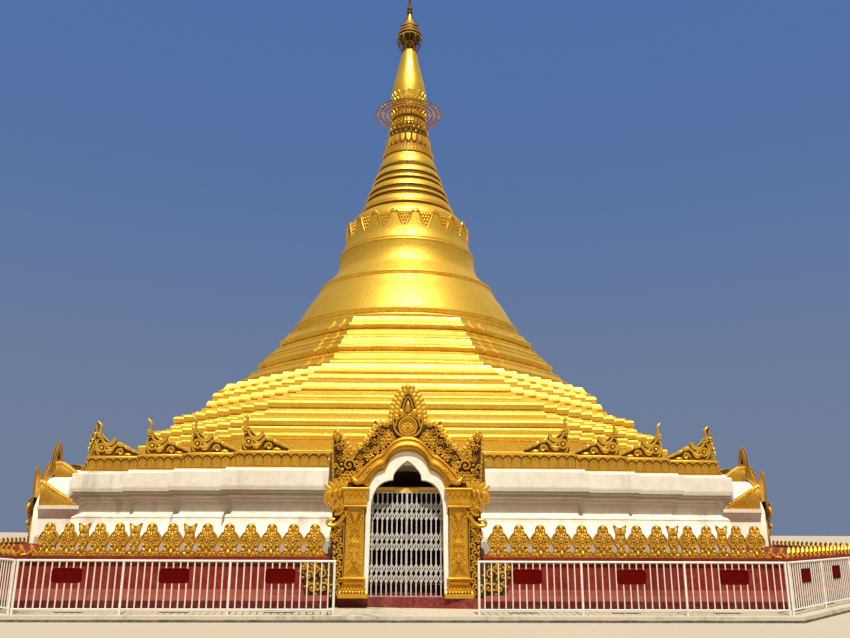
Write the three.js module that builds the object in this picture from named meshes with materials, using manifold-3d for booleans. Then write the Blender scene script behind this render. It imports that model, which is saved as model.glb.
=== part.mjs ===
// A gilded stepped stupa on a white base and a red plinth, with a gate porch on each of its four sides
// and a low fence round it. Millimetres, +Z up, origin on the ground under the centre, front towards -Y.
import * as THREE from "three";
import { mergeVertices } from "three/addons/utils/BufferGeometryUtils.js";
import Module from "manifold-3d";

const wasm = await Module();
wasm.setup();

// Heights of the main levels
const KERB_TOP = 100;
const SILL_TOP = 280;
const PLINTH_TOP = 1000;
const BASE_TOP = 2810;
const FRIEZE_TOP = 3200;
const TERRACE_TOPS = [3790, 4260, 4830, 5960];
const OCTAGON_TOPS = [7000, 7820];
const BELL_TOP = 12060;
const BAND_TOP = 12820;
const RINGS_TOP = 15060;
const LOTUS_TOP = 17180;
const BUD_TOP = 19860;
const UMBRELLA_TOP = 21300;
const FINIAL_TOP = 23000;

// Plan sizes, each from the centre to a face or along half of a face
const FENCE_APOTHEM = 13000;
const FENCE_HALF_FACE = 6680;
const PLINTH_APOTHEM = 11950;
const PLINTH_HALF_FACE = 7290;
const BASE_BAYS = [
  [4080, 9650],
  [5370, 9100],
  [6570, 8580],
  [7980, 7980],
];
const TERRACE_FACE = 7790;
const TERRACE_HALF_FACE = 4420;
const TERRACE_STEPS = 8;
const OCTAGON_APOTHEM = 5320;

// Passage, chamber and porch
const GAP = 0.3;
const PASSAGE_HALF = 950;
const CHAMBER_HALF = 3000;
const CORE_HALF = 1350;
const PORCH_HALF = 1430;
const PORCH_BACK = 9440;
const PORCH_ROOF_BACK = 9830;
const ARCH_BACK = 11600;
const ARCH_FRONT = 11800;
const GATE_FRONT = 11960;
const SILL_FRONT = 12020;

// Fence and balustrade
const GATE_GAP = 1225;
const FENCE_TOP = 990;
const STRAIGHT_BAYS = 3;
const CORNER_BAYS = 5;
const BARS_A_BAY = 2;
const POST = 50;
const BAR = 24;
const RAIL = 45;
const PANEL_DEPTH = 30;
const MERLON_HEIGHT = 600;
const MERLON_DEPTH = 90;
const MERLON_WIDTH = 400;
const FOLDED_WIDTH = 190;
const LOW_MERLON_HEIGHT = 190;
const LOW_MERLON_WIDTH = 260;
const FRIEZE_INSET = 240;
const ORNAMENT_DEPTH = 130;

const ROUND = 32;
const SPIRE_ROUND = 24;
const SLIM_ROUND = 16;
const WREATH_SPOKES = 8;
const NECK = 740;
const WREATH_LEVEL = 17050;

const LOOKS = {
  gold: { color: 0xe8b838, roughness: 0.35, metalness: 0.5 },
  carved_gold: { color: 0xb8862b, roughness: 0.45, metalness: 0.5 },
  limewash: { color: 0xece3d0, roughness: 0.85, metalness: 0 },
  red_paint: { color: 0x8e1f1a, roughness: 0.7, metalness: 0 },
  white_paint: { color: 0xe9e6e0, roughness: 0.5, metalness: 0.2 },
  concrete: { color: 0xb9b0a0, roughness: 0.9, metalness: 0 },
};

const stupa = new THREE.Group();

/** Adds one named solid of a finish to a group. */
function place(parent, name, geometry, look) {
  const mesh = new THREE.Mesh(geometry, new THREE.MeshStandardMaterial(LOOKS[look]));
  mesh.name = name;
  parent.add(mesh);
  return mesh;
}

/** A closed geometry as a solid that can be joined and cut. */
function solidOf(geometry) {
  const bare = geometry.index ? geometry.toNonIndexed() : geometry.clone();
  bare.deleteAttribute("normal");
  bare.deleteAttribute("uv");
  const merged = mergeVertices(bare, 1e-3);
  return new wasm.Manifold(
    new wasm.Mesh({
      numProp: 3,
      vertProperties: merged.getAttribute("position").array,
      triVerts: new Uint32Array(merged.index.array),
    }),
  );
}

/** The geometry of a solid. */
function geometryOf(body) {
  const mesh = body.getMesh();
  return new THREE.BufferGeometry()
    .setAttribute("position", new THREE.BufferAttribute(mesh.vertProperties, 3))
    .setIndex(new THREE.BufferAttribute(mesh.triVerts, 1));
}

/** Several closed geometries joined into one. */
function joined(geometries) {
  return geometryOf(geometries.map(solidOf).reduce((whole, next) => whole.add(next)));
}

/** A box given by its lowest and highest corners. */
function block(low, high) {
  const size = high.map((value, i) => value - low[i]);
  return new THREE.BoxGeometry(...size).translate(...low.map((value, i) => value + size[i] / 2));
}

/** An outline in plan, raised from one height to another. */
function slab(outline, bottom, top) {
  const shape = new THREE.Shape(outline);
  return new THREE.ExtrudeGeometry(shape, { depth: top - bottom, bevelEnabled: false }).translate(0, 0, bottom);
}

/** An upright plate: an outline of [across, height] points, between two distances in front of the centre. */
function plate(outline, back, front) {
  const shape = new THREE.Shape(outline);
  const geometry = new THREE.ExtrudeGeometry(shape, { depth: front - back, bevelEnabled: false });
  return geometry.rotateX(Math.PI / 2).translate(0, -back, 0);
}

/** A solid of revolution from [radius, height] points that start and end on the axis. */
function turned(profile, segments) {
  const points = profile.map(([radius, height]) => new THREE.Vector2(radius, height));
  return new THREE.LatheGeometry(points, segments).rotateX(Math.PI / 2);
}

/** Unit mitres at the corners of an anticlockwise outline: how far each moves for 1 mm of outward offset. */
function mitres(outline) {
  return outline.map((point, i) => {
    const before = outline[(i + outline.length - 1) % outline.length];
    const after = outline[(i + 1) % outline.length];
    const a = point.clone().sub(before).normalize();
    const b = after.clone().sub(point).normalize();
    const normal = new THREE.Vector2(a.y + b.y, -a.x - b.x);
    return normal.divideScalar(1 + a.dot(b));
  });
}

/** A moulded course: a plan outline whose side follows [outward offset, height] steps from bottom to top. */
function moulded(outline, profile, shift = mitres(outline)) {
  const steps = profile.length - 1;
  const options = { depth: steps, steps, bevelEnabled: false };
  const geometry = new THREE.ExtrudeGeometry(new THREE.Shape(outline), options);
  const position = geometry.getAttribute("position");
  for (let i = 0; i < position.count; i++) {
    const x = position.getX(i);
    const y = position.getY(i);
    const corner = outline.findIndex((point) => Math.hypot(point.x - x, point.y - y) < 0.5);
    const [offset, height] = profile[Math.round(position.getZ(i))];
    position.setXYZ(i, x + shift[corner].x * offset, y + shift[corner].y * offset, height);
  }
  return geometry;
}

/** The four-fold repeat of a run of [x, y] points that leads anticlockwise through the +X +Y quarter. */
function fourfold(quarter) {
  const outline = [];
  for (let turn = 0; turn < 4; turn++) {
    for (const [x, y] of quarter) {
      outline.push(new THREE.Vector2(x, y).rotateAround(new THREE.Vector2(), (turn * Math.PI) / 2));
    }
  }
  return outline;
}

/** A square with its corners cut at 45 degrees. */
function cutSquare(apothem, halfFace) {
  return fourfold([
    [apothem, halfFace],
    [halfFace, apothem],
  ]);
}

/** The base plan: a square whose middle bays stand forward in shallow steps. */
function bayPlan() {
  const quarter = [];
  const last = BASE_BAYS.length - 1;
  BASE_BAYS.forEach(([half, face], i) => {
    quarter.push([face, half]);
    if (i < last) quarter.push([BASE_BAYS[i + 1][1], half]);
  });
  for (let i = last - 1; i >= 0; i--) {
    const [half, face] = BASE_BAYS[i];
    quarter.push([half, BASE_BAYS[i + 1][1]]);
    quarter.push([half, face]);
  }
  return fourfold(quarter);
}

/** The terrace plan: four faces joined by flights of small square steps in plan. */
function terracePlan() {
  const step = (TERRACE_FACE - TERRACE_HALF_FACE) / TERRACE_STEPS;
  const quarter = [[TERRACE_FACE, TERRACE_HALF_FACE]];
  for (let i = 1; i <= TERRACE_STEPS; i++) {
    quarter.push([TERRACE_FACE - i * step, TERRACE_HALF_FACE + (i - 1) * step]);
    quarter.push([TERRACE_FACE - i * step, TERRACE_HALF_FACE + i * step]);
  }
  return fourfold(quarter);
}

/** The octagon plan: eight faces that meet at its corners, each with two shallow steps up to its middle. */
function octagonPlan() {
  const apothem = OCTAGON_APOTHEM;
  const step = 55;
  const corner = apothem * Math.tan(Math.PI / 8);
  const wide = corner * 0.76;
  const narrow = corner * 0.5;
  const face = [
    [apothem, -corner],
    [apothem, -wide],
    [apothem + step, -wide],
    [apothem + step, -narrow],
    [apothem + 2 * step, -narrow],
    [apothem + 2 * step, narrow],
    [apothem + step, narrow],
    [apothem + step, wide],
    [apothem, wide],
  ];
  const outline = [];
  for (let turn = 0; turn < 8; turn++) {
    for (const [x, y] of face) {
      outline.push(new THREE.Vector2(x, y).rotateAround(new THREE.Vector2(), (turn * Math.PI) / 4));
    }
  }
  return outline;
}

/** A symmetric outline from [across, height] points up its right half, the last of them on the middle line. */
function mirrored(half) {
  const left = half.slice(0, -1).map(([x, z]) => [-x, z]);
  return [...half, ...left.reverse()].map(([x, z]) => new THREE.Vector2(x, z));
}

/** The kerb that carries everything, the floor with its four sills, and the core in the middle of the chamber. */
function groundWorks() {
  const kerb = moulded(cutSquare(FENCE_APOTHEM, FENCE_HALF_FACE), [
    [220, 0],
    [220, KERB_TOP],
  ]);
  place(stupa, "kerb_platform", kerb, "concrete");
  const edge = PASSAGE_HALF - GAP;
  const hall = CHAMBER_HALF - GAP;
  const arm = fourfold([
    [SILL_FRONT, PORCH_HALF],
    [ARCH_BACK + GAP, PORCH_HALF],
    [ARCH_BACK + GAP, edge],
    [hall, edge],
    [hall, hall],
    [edge, hall],
    [edge, ARCH_BACK + GAP],
    [PORCH_HALF, ARCH_BACK + GAP],
  ]);
  place(stupa, "passage_floor", slab(arm, KERB_TOP, SILL_TOP), "red_paint");
  const core = block([-CORE_HALF, -CORE_HALF, SILL_TOP + GAP], [CORE_HALF, CORE_HALF, BASE_TOP - GAP]);
  place(stupa, "inner_core", core, "limewash");
}

/** The prism that one corner mass of the plinth or base fills, between two passages. */
function cornerPrism() {
  const far = 14000;
  const outline = [
    [PASSAGE_HALF, CHAMBER_HALF],
    [CHAMBER_HALF, CHAMBER_HALF],
    [CHAMBER_HALF, PASSAGE_HALF],
    [PORCH_BACK, PASSAGE_HALF],
    [PORCH_BACK, PORCH_HALF + GAP],
    [far, PORCH_HALF + GAP],
    [far, far],
    [PORCH_HALF + GAP, far],
    [PORCH_HALF + GAP, PORCH_BACK],
    [PASSAGE_HALF, PORCH_BACK],
  ].map(([x, y]) => new THREE.Vector2(x, y));
  return solidOf(slab(outline, 0, BASE_TOP + PLINTH_TOP));
}

/** Four corner masses each of the red plinth and the white base. */
function cornerMasses() {
  const prism = cornerPrism();
  const plinth = moulded(cutSquare(PLINTH_APOTHEM, PLINTH_HALF_FACE), [
    [50, KERB_TOP],
    [50, 330],
    [0, 330],
    [0, 900],
    [40, 900],
    [40, PLINTH_TOP],
  ]);
  const base = moulded(bayPlan(), [
    [120, PLINTH_TOP],
    [120, 1250],
    [-150, 1800],
    [-250, 1860],
    [-250, 2100],
    [-90, 2230],
    [0, 2320],
    [0, 2750],
    [-85, 2760],
    [-85, BASE_TOP],
  ]);
  const plinthCorner = geometryOf(solidOf(plinth).intersect(prism));
  const baseCorner = geometryOf(solidOf(base).intersect(prism));
  ["back_right", "back_left", "front_left", "front_right"].forEach((corner, turn) => {
    const quarter = new THREE.Group();
    quarter.rotation.z = (turn * Math.PI) / 2;
    stupa.add(quarter);
    place(quarter, "plinth_" + corner, plinthCorner, "red_paint");
    place(quarter, "base_" + corner, baseCorner, "limewash");
    place(quarter, "merlons_" + corner, merlonRun(turn % 2 === 0), "carved_gold");
  });
}

/** Top edge points of one merlon of a width, from its left notch: a pear with a bud, or a folded one. */
function merlonPoints(width, folded) {
  const notch = 0.28 * MERLON_HEIGHT;
  const belly = 0.52 * MERLON_HEIGHT;
  if (folded) {
    return [
      [0.02 * width, notch],
      [0.1 * width, MERLON_HEIGHT * 0.9],
      [0.5 * width, MERLON_HEIGHT * 0.78],
      [0.9 * width, MERLON_HEIGHT * 0.9],
    ];
  }
  return [
    [0, notch],
    [0.06 * width, belly],
    [0.38 * width, MERLON_HEIGHT],
    [0.62 * width, MERLON_HEIGHT],
    [0.94 * width, belly],
  ];
}

/** Tall merlons of the given widths, then low ones up to a length: along +X or from its far end, with the back on y 0. */
function merlonStretch(widths, length, fromFarEnd = false) {
  const top = [];
  let start = 0;
  for (const width of widths) {
    for (const [x, z] of merlonPoints(width, width === FOLDED_WIDTH)) top.push([start + x, z]);
    start += width;
  }
  const low = Math.round((length - start) / LOW_MERLON_WIDTH);
  const step = (length - start) / low;
  for (let i = 0; i < low; i++) {
    top.push([start + i * step, LOW_MERLON_HEIGHT / 2]);
    top.push([start + (i + 0.5) * step, LOW_MERLON_HEIGHT]);
  }
  const outline = [[0, 0], ...top, [length, LOW_MERLON_HEIGHT / 2], [length, 0]];
  return plate(
    outline.map(([x, z]) => new THREE.Vector2(fromFarEnd ? length - x : x, z)),
    0,
    MERLON_DEPTH,
  );
}

/** The balustrade round one corner of the plinth: tall merlons on the front or back face, low ones on the rest. */
function merlonRun(backIsTall) {
  const inset = 60 + MERLON_DEPTH;
  const line = PLINTH_APOTHEM - inset;
  const half = PLINTH_HALF_FACE - inset * Math.tan(Math.PI / 8);
  const mitre = MERLON_DEPTH * Math.tan(Math.PI / 8);
  const start = PORCH_HALF + 100;
  const length = half + mitre - start;
  const group = [MERLON_WIDTH, MERLON_WIDTH, FOLDED_WIDTH];
  const tall = [...Array(6).fill(MERLON_WIDTH), FOLDED_WIDTH, ...group, ...group, MERLON_WIDTH, MERLON_WIDTH];
  const back = merlonStretch(backIsTall ? tall : [], length, true);
  back.rotateZ(Math.PI).translate(half + mitre, line, PLINTH_TOP);
  const right = merlonStretch(backIsTall ? [] : tall, length);
  right.rotateZ(Math.PI / 2).translate(line, start, PLINTH_TOP);
  const slant = merlonStretch([], (line - half) * Math.SQRT2);
  slant.rotateZ((Math.PI * 3) / 4).translate(line, half, PLINTH_TOP);
  return joined([back, right, slant]);
}

/** One corner ornament, a curled spike with a tail that sinks along the face: along +X or -X from 0. */
function ornament(side) {
  const outline = [
    [0, -20],
    [1080, -20],
    [760, 210],
    [560, 380],
    [380, 320],
    [170, 800],
    [20, 420],
  ].map(([x, z]) => new THREE.Vector2(side * x, z));
  return plate(outline, 0, ORNAMENT_DEPTH);
}

/** The frieze course over the base, with an ornament on its top at every outer corner. */
function frieze() {
  const course = moulded(bayPlan(), [
    [-FRIEZE_INSET + 70, BASE_TOP],
    [-FRIEZE_INSET, 2840],
    [-FRIEZE_INSET, 3110],
    [-FRIEZE_INSET - 80, 3115],
    [-FRIEZE_INSET - 80, FRIEZE_TOP],
  ]);
  let whole = solidOf(course);
  for (let turn = 0; turn < 4; turn++) {
    for (const [half, face] of BASE_BAYS) {
      for (const side of [-1, 1]) {
        const piece = ornament(-side);
        const back = face - FRIEZE_INSET - ORNAMENT_DEPTH;
        piece.translate(side * (half - FRIEZE_INSET - 100), -back, FRIEZE_TOP);
        whole = whole.add(solidOf(piece.rotateZ((turn * Math.PI) / 2)));
      }
    }
  }
  place(stupa, "frieze_course", geometryOf(whole), "carved_gold");
}

/** The four stepped terraces and the two octagonal courses. */
function terraces() {
  const plan = terracePlan();
  const courses = [
    [
      [-60, FRIEZE_TOP],
      [-60, 3330],
      [-190, 3380],
      [-190, 3580],
      [0, 3620],
      [0, 3760],
      [-80, TERRACE_TOPS[0]],
    ],
    [
      [-260, TERRACE_TOPS[0]],
      [-470, 3850],
      [-470, 4000],
      [-380, 4060],
      [-380, 4220],
      [-470, TERRACE_TOPS[1]],
    ],
    [
      [-720, TERRACE_TOPS[1]],
      [-1120, 4360],
      [-1120, 4510],
      [-1030, 4550],
      [-1030, 4740],
      [-1120, TERRACE_TOPS[2]],
    ],
    [
      [-1330, TERRACE_TOPS[2]],
      [-1690, 5000],
      [-1690, 5150],
      [-1590, 5190],
      [-1590, 5390],
      [-1840, 5460],
      [-1860, 5720],
      [-2060, TERRACE_TOPS[3]],
    ],
  ];
  courses.forEach((profile, i) => place(stupa, "terrace_" + (i + 1), moulded(plan, profile), "gold"));

  const octagon = octagonPlan();
  const growth = octagon.map((point) => point.clone().divideScalar(OCTAGON_APOTHEM));
  const lowerProfile = [
    [60, TERRACE_TOPS[3]],
    [20, 6110],
    [-210, 6340],
    [-530, 6560],
    [-470, 6600],
    [-480, 6720],
    [-760, OCTAGON_TOPS[0]],
  ];
  place(stupa, "octagon_lower", moulded(octagon, lowerProfile, growth), "gold");
  const upperProfile = [
    [-780, OCTAGON_TOPS[0]],
    [-800, 7080],
    [-1180, 7400],
    [-1100, 7440],
    [-1110, 7560],
    [-1350, OCTAGON_TOPS[1]],
  ];
  place(stupa, "octagon_upper", moulded(octagon, upperProfile, growth), "gold");
}

/** The round parts above the octagons, from the bell to the finial. */
function spire() {
  const bell = [
    [0, OCTAGON_TOPS[1]],
    [4010, OCTAGON_TOPS[1]],
    [4040, 8200],
    [3600, 8870],
    [3190, 9480],
    [3140, 9740],
    [2860, 9960],
    [2580, 10260],
    [2480, 10640],
    [2490, 11060],
    [2290, 11500],
    [2240, BELL_TOP],
    [0, BELL_TOP],
  ];
  place(stupa, "bell", turned(bell, ROUND), "gold");
  const band = [
    [0, BELL_TOP],
    [2200, BELL_TOP],
    [2110, 12270],
    [1760, 12640],
    [1680, BAND_TOP],
    [0, BAND_TOP],
  ];
  place(stupa, "bell_band", turned(band, ROUND), "gold");

  const rings = [[0, BAND_TOP]];
  const count = 6;
  const pitch = (RINGS_TOP - BAND_TOP) / count;
  for (let i = 0; i < count; i++) {
    const widest = 1660 - i * 124;
    rings.push([widest, BAND_TOP + i * pitch]);
    rings.push([widest - 50, BAND_TOP + (i + 0.55) * pitch]);
    rings.push([widest - 150, BAND_TOP + (i + 0.85) * pitch]);
  }
  rings.push([920, RINGS_TOP], [0, RINGS_TOP]);
  place(stupa, "ringed_spire", turned(rings, SPIRE_ROUND), "gold");

  const lotus = [
    [0, RINGS_TOP],
    [960, RINGS_TOP],
    [960, 15250],
    [900, 15400],
    [930, 15540],
    [780, 15850],
    [770, 16150],
    [710, 16600],
    [NECK, 17050],
    [640, LOTUS_TOP],
    [0, LOTUS_TOP],
  ];
  place(stupa, "lotus_bands", turned(lotus, SPIRE_ROUND), "carved_gold");

  const bud = [
    [0, LOTUS_TOP],
    [660, LOTUS_TOP],
    [740, 17700],
    [670, 17860],
    [570, 18400],
    [450, 18990],
    [340, 19550],
    [290, BUD_TOP],
    [0, BUD_TOP],
  ];
  place(stupa, "spire_bud", turned(bud, SLIM_ROUND), "gold");

  const umbrella = [
    [0, BUD_TOP],
    [120, BUD_TOP],
    [120, 20350],
    [420, 20330],
    [430, 20180],
    [475, 20180],
    [480, 20460],
    [400, 20500],
    [430, 20600],
    [420, 20760],
    [310, 20820],
    [365, 21080],
    [200, 21180],
    [110, UMBRELLA_TOP],
    [0, UMBRELLA_TOP],
  ];
  place(stupa, "umbrella", turned(umbrella, SLIM_ROUND), "carved_gold");
  const finial = [
    [0, UMBRELLA_TOP],
    [150, 21380],
    [90, 21500],
    [40, 21620],
    [100, 21760],
    [40, 21900],
    [40, 22450],
    [85, 22650],
    [0, FINIAL_TOP],
  ];
  place(stupa, "finial", turned(finial, 12), "gold");
}

/** The open wreath round the neck: two rims on flat spokes. */
function wreath() {
  const ring = (inner, outer, bottom, top) =>
    turned(
      [
        [inner, bottom],
        [outer, bottom],
        [outer, top],
        [inner, top],
        [inner, bottom],
      ],
      SPIRE_ROUND,
    );
  const low = WREATH_LEVEL - 40;
  const high = WREATH_LEVEL + 40;
  const parts = [ring(NECK + GAP, NECK + 50, low, high), ring(1240, 1285, low, high)];
  for (let i = 0; i < WREATH_SPOKES; i++) {
    const spoke = block([NECK + 30, -15, low + 20], [1265, 15, high - 20]);
    parts.push(spoke.rotateZ((i * 2 * Math.PI) / WREATH_SPOKES));
  }
  place(stupa, "spire_wreath", joined(parts), "carved_gold");
}

/** One straight fence panel of equal bays along +X from 0: posts, two rails and upright bars. */
function fencePanel(length, bays) {
  const height = FENCE_TOP - KERB_TOP;
  const deep = PANEL_DEPTH / 2;
  const lowRail = 110;
  const parts = [
    block([0, -deep, lowRail], [length, deep, lowRail + RAIL]),
    block([0, -deep, height - RAIL], [length, deep, height]),
  ];
  const spaces = bays * (BARS_A_BAY + 1);
  for (let i = 0; i <= spaces; i++) {
    const isPost = i % (BARS_A_BAY + 1) === 0;
    const wide = isPost ? POST / 2 : BAR / 2;
    const middle = Math.min(Math.max((i * length) / spaces, wide), length - wide);
    const foot = isPost ? 0 : lowRail + RAIL / 2;
    parts.push(block([middle - wide, -deep, foot], [middle + wide, deep, height - RAIL / 2]));
  }
  return joined(parts);
}

/** The fence on its kerb: two straight panels a side and one across each corner. */
function fence() {
  const end = 20;
  const straight = fencePanel(FENCE_HALF_FACE - GATE_GAP - end, STRAIGHT_BAYS);
  const slantLength = (FENCE_APOTHEM - FENCE_HALF_FACE) * Math.SQRT2 - 2 * end;
  const slant = fencePanel(slantLength, CORNER_BAYS);
  const sides = ["front", "right", "back", "left"];
  const corners = ["front_right", "back_right", "back_left", "front_left"];
  sides.forEach((side, turn) => {
    const group = new THREE.Group();
    group.rotation.z = (turn * Math.PI) / 2;
    stupa.add(group);
    const first = place(group, "fence_" + side + "_a", straight, "white_paint");
    first.position.set(-FENCE_HALF_FACE + end, -FENCE_APOTHEM, KERB_TOP);
    const second = place(group, "fence_" + side + "_b", straight, "white_paint");
    second.position.set(GATE_GAP, -FENCE_APOTHEM, KERB_TOP);
    const third = place(group, "fence_" + corners[turn], slant, "white_paint");
    const along = end / Math.SQRT2;
    third.position.set(FENCE_HALF_FACE + along, -FENCE_APOTHEM + along, KERB_TOP);
    third.rotation.z = Math.PI / 4;
  });
}

// Half outlines of the gate, [across, height] from the bottom up, heights from the kerb top
const DOORWAY = [
  [765, 180],
  [705, 1950],
  [626, 2175],
  [420, 2310],
  [263, 2330],
  [247, 2448],
  [110, 2580],
  [0, 2678],
];
const HOOD = [
  [860, 180],
  [810, 1950],
  [727, 2210],
  [418, 2450],
  [400, 2530],
  [213, 2760],
  [0, 2864],
];
const CREST = [
  [1430, 180],
  [1430, 1560],
  [1600, 1620],
  [1650, 2000],
  [1460, 2360],
  [1470, 3100],
  [1390, 3270],
  [1250, 3080],
  [1050, 2870],
  [870, 3020],
  [500, 3470],
  [345, 3450],
  [330, 3690],
  [235, 3900],
  [110, 4110],
  [0, 4200],
];

/** A gate outline over an arched opening, from the right half of each, raised to the level of the kerb. */
function archway(outer, opening) {
  const around = mirrored(outer);
  const rim = mirrored(opening);
  const left = rim.slice(opening.length).reverse();
  const right = rim.slice(0, opening.length).reverse();
  return [...around, ...left, ...right].map(({ x, y }) => new THREE.Vector2(x, y + KERB_TOP));
}

/** The closed gate behind the arch as a flat lattice: stiles, cross rails and the track beam above. */
function gateGrille() {
  const half = 790;
  const top = 2170;
  const bar = 22;
  const deep = 35;
  const front = ARCH_BACK - GAP;
  const back = front - deep;
  const stiles = 6;
  const rail = (height, tall) => block([-half, -front, height], [half, -back, height + tall]);
  const parts = [rail(SILL_TOP, bar), rail((SILL_TOP + top) / 2, bar), rail(top, 3 * bar)];
  for (let i = 0; i <= stiles; i++) {
    const x = (2 * i * (half - bar / 2)) / stiles - half + bar / 2;
    parts.push(block([x - bar / 2, -front, SILL_TOP], [x + bar / 2, -back, top + bar]));
  }
  return joined(parts);
}

/** A porch: walls and vaulted passage under its roof, the white arch, the gilded surround and the grille. */
function porch(side, turn) {
  const group = new THREE.Group();
  group.rotation.z = (turn * Math.PI) / 2;
  stupa.add(group);

  const half = PORCH_HALF;
  const vault = mirrored([
    [PASSAGE_HALF, KERB_TOP - 50],
    [PASSAGE_HALF, 2300],
    [780, 2560],
    [430, 2690],
    [0, 2730],
  ]);
  const walls = solidOf(block([-half, -ARCH_BACK + GAP, KERB_TOP], [half, -PORCH_BACK - GAP, BASE_TOP - 5]));
  const roofOutline = mirrored([
    [1570, 2050],
    [1600, 2160],
    [1250, 2420],
    [900, 2900],
    [500, 3230],
    [0, 3380],
  ]);
  const roof = solidOf(plate(roofOutline, PORCH_ROOF_BACK, ARCH_BACK - GAP));
  const passage = solidOf(plate(vault, PORCH_BACK - 500, ARCH_BACK + 500));
  place(group, side + "_porch", geometryOf(walls.add(roof).subtract(passage)), "limewash");

  const frame = [
    [1400, 180],
    [1400, 2500],
    [700, 2950],
    [0, 3250],
  ];
  place(group, side + "_arch", plate(archway(frame, DOORWAY), ARCH_BACK, ARCH_FRONT), "limewash");
  const surround = plate(archway(CREST, HOOD), ARCH_FRONT + GAP, GATE_FRONT);
  place(group, side + "_gate_surround", surround, "carved_gold");
  place(group, side + "_gate_grille", gateGrille(), "white_paint");
}

groundWorks();
cornerMasses();
frieze();
terraces();
spire();
wreath();
fence();
["front", "right", "back", "left"].forEach(porch);

export default stupa;
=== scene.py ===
"""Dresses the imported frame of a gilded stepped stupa: carving, mouldings, finishes, light and camera.

Metres, +Z up, origin on the ground under the centre, front towards -Y. A side piece is built once for
the front, as [across, height] outlines in planes that face -Y, and turned about Z for the other sides.
"""

from __future__ import annotations

import logging
import math
from collections.abc import Callable, Iterable, Sequence
from dataclasses import dataclass, replace
from enum import Enum

import bmesh
import bpy
from mathutils import Matrix, Vector

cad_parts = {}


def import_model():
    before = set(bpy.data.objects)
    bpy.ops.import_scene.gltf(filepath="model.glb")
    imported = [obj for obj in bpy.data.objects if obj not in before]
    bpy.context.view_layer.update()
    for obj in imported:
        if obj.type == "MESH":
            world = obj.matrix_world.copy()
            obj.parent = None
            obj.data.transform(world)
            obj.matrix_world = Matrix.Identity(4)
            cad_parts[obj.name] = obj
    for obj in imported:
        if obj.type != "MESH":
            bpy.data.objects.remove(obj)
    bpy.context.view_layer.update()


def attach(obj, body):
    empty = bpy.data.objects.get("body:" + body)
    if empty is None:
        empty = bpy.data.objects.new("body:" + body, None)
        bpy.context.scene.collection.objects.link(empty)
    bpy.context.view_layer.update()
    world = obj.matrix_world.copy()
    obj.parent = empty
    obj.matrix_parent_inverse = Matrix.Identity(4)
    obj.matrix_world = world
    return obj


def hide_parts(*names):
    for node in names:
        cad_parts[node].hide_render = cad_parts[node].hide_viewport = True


LOG = logging.getLogger("stupa")
QUARTER = math.pi / 2

# The left and the right of a mirrored pair
HANDS = (-1, 1)

Pair = tuple[float, float]
Loop = list[bmesh.types.BMVert]

# Heights of the main levels
KERB_TOP = 0.1
PLINTH_TOP = 1.0
BASE_TOP = 2.81
FRIEZE_TOP = 3.2

# The base plan: half width and face of each bay
BASE_BAYS: list[Pair] = [(4.08, 9.65), (5.37, 9.1), (6.57, 8.58), (7.98, 7.98)]
FRIEZE_INSET = 0.24


class Place(Enum):
    """A place round the part, by its quarter turns from the first one."""

    @property
    def label(self) -> str:
        """The place's words in the names of pieces."""
        return self.name.lower()

    @property
    def turn(self) -> Matrix:
        """The turn that brings a piece from the first place to this one."""
        return Matrix.Rotation(self.value * QUARTER, 4, "Z")


class Side(Place):
    """The four sides, from the front."""

    FRONT = 0
    RIGHT = 1
    BACK = 2
    LEFT = 3


class Corner(Place):
    """The four corners, from the front right one."""

    FRONT_RIGHT = 0
    BACK_RIGHT = 1
    BACK_LEFT = 2
    FRONT_LEFT = 3


# Outlines and profiles


class Profile:
    """A side line drawn point by point, as [outward offset or radius, height]."""

    def __init__(self, offset: float, height: float) -> None:
        """Starts the line at its lowest point."""
        self.points: list[Pair] = [(offset, height)]

    def to(self, *points: Pair) -> Profile:
        """Goes on in straight lines through the points."""
        self.points.extend(points)
        return self

    def nose(self, offset: float, height: float, bulge: float = 0.5, steps: int = 6) -> Profile:
        """Goes on in a rounded bulge.

        Args:
            offset: Where the bulge ends, outwards.
            height: Where the bulge ends, upwards.
            bulge: How far it stands out, as a share of its chord; below 0 it is hollow.
            steps: Number of faces along it.

        Returns:
            The profile itself.
        """
        x, z = self.points[-1]
        across, up = offset - x, height - z
        for i in range(1, steps + 1):
            turn = math.pi * i / steps
            along = (1 - math.cos(turn)) / 2
            out = bulge * math.sin(turn)
            self.points.append((x + across * along + up * out, z + up * along - across * out))
        return self

    def sweep(self, offset: float, height: float, sag: float, steps: int = 5) -> Profile:
        """Goes on in a shallow curve that stands out by a share of its chord."""
        x, z = self.points[-1]
        across, up = offset - x, height - z
        for i in range(1, steps + 1):
            along = i / steps
            out = 4 * sag * along * (1 - along)
            self.points.append((x + across * along + up * out, z + up * along - across * out))
        return self

    def flow(self, points: Sequence[Pair], steps: int = 4) -> Profile:
        """Goes on in one smooth curve through the points.

        Args:
            points: The points that the curve passes.
            steps: Number of faces from one point to the next.

        Returns:
            The profile itself.
        """
        knots = [Vector(p) for p in (self.points[-1], *points)]
        ends = [knots[0] * 2 - knots[1], *knots, knots[-1] * 2 - knots[-2]]
        for a, b, c, d in zip(ends, ends[1:], ends[2:], ends[3:]):
            for i in range(1, steps + 1):
                t = i / steps
                point = (
                    b * 2
                    + (c - a) * t
                    + (a * 2 - b * 5 + c * 4 - d) * t * t
                    + (b * 3 - a - c * 3 + d) * t**3
                ) / 2
                self.points.append((point.x, point.y))
        return self


def fourfold(quarter: Sequence[Pair], turns: int = 4) -> list[Vector]:
    """Repeats a run of plan points round the centre, anticlockwise."""
    spins = [Matrix.Rotation(turn * math.tau / turns, 2) for turn in range(turns)]
    return [spin @ Vector(point) for spin in spins for point in quarter]


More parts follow.
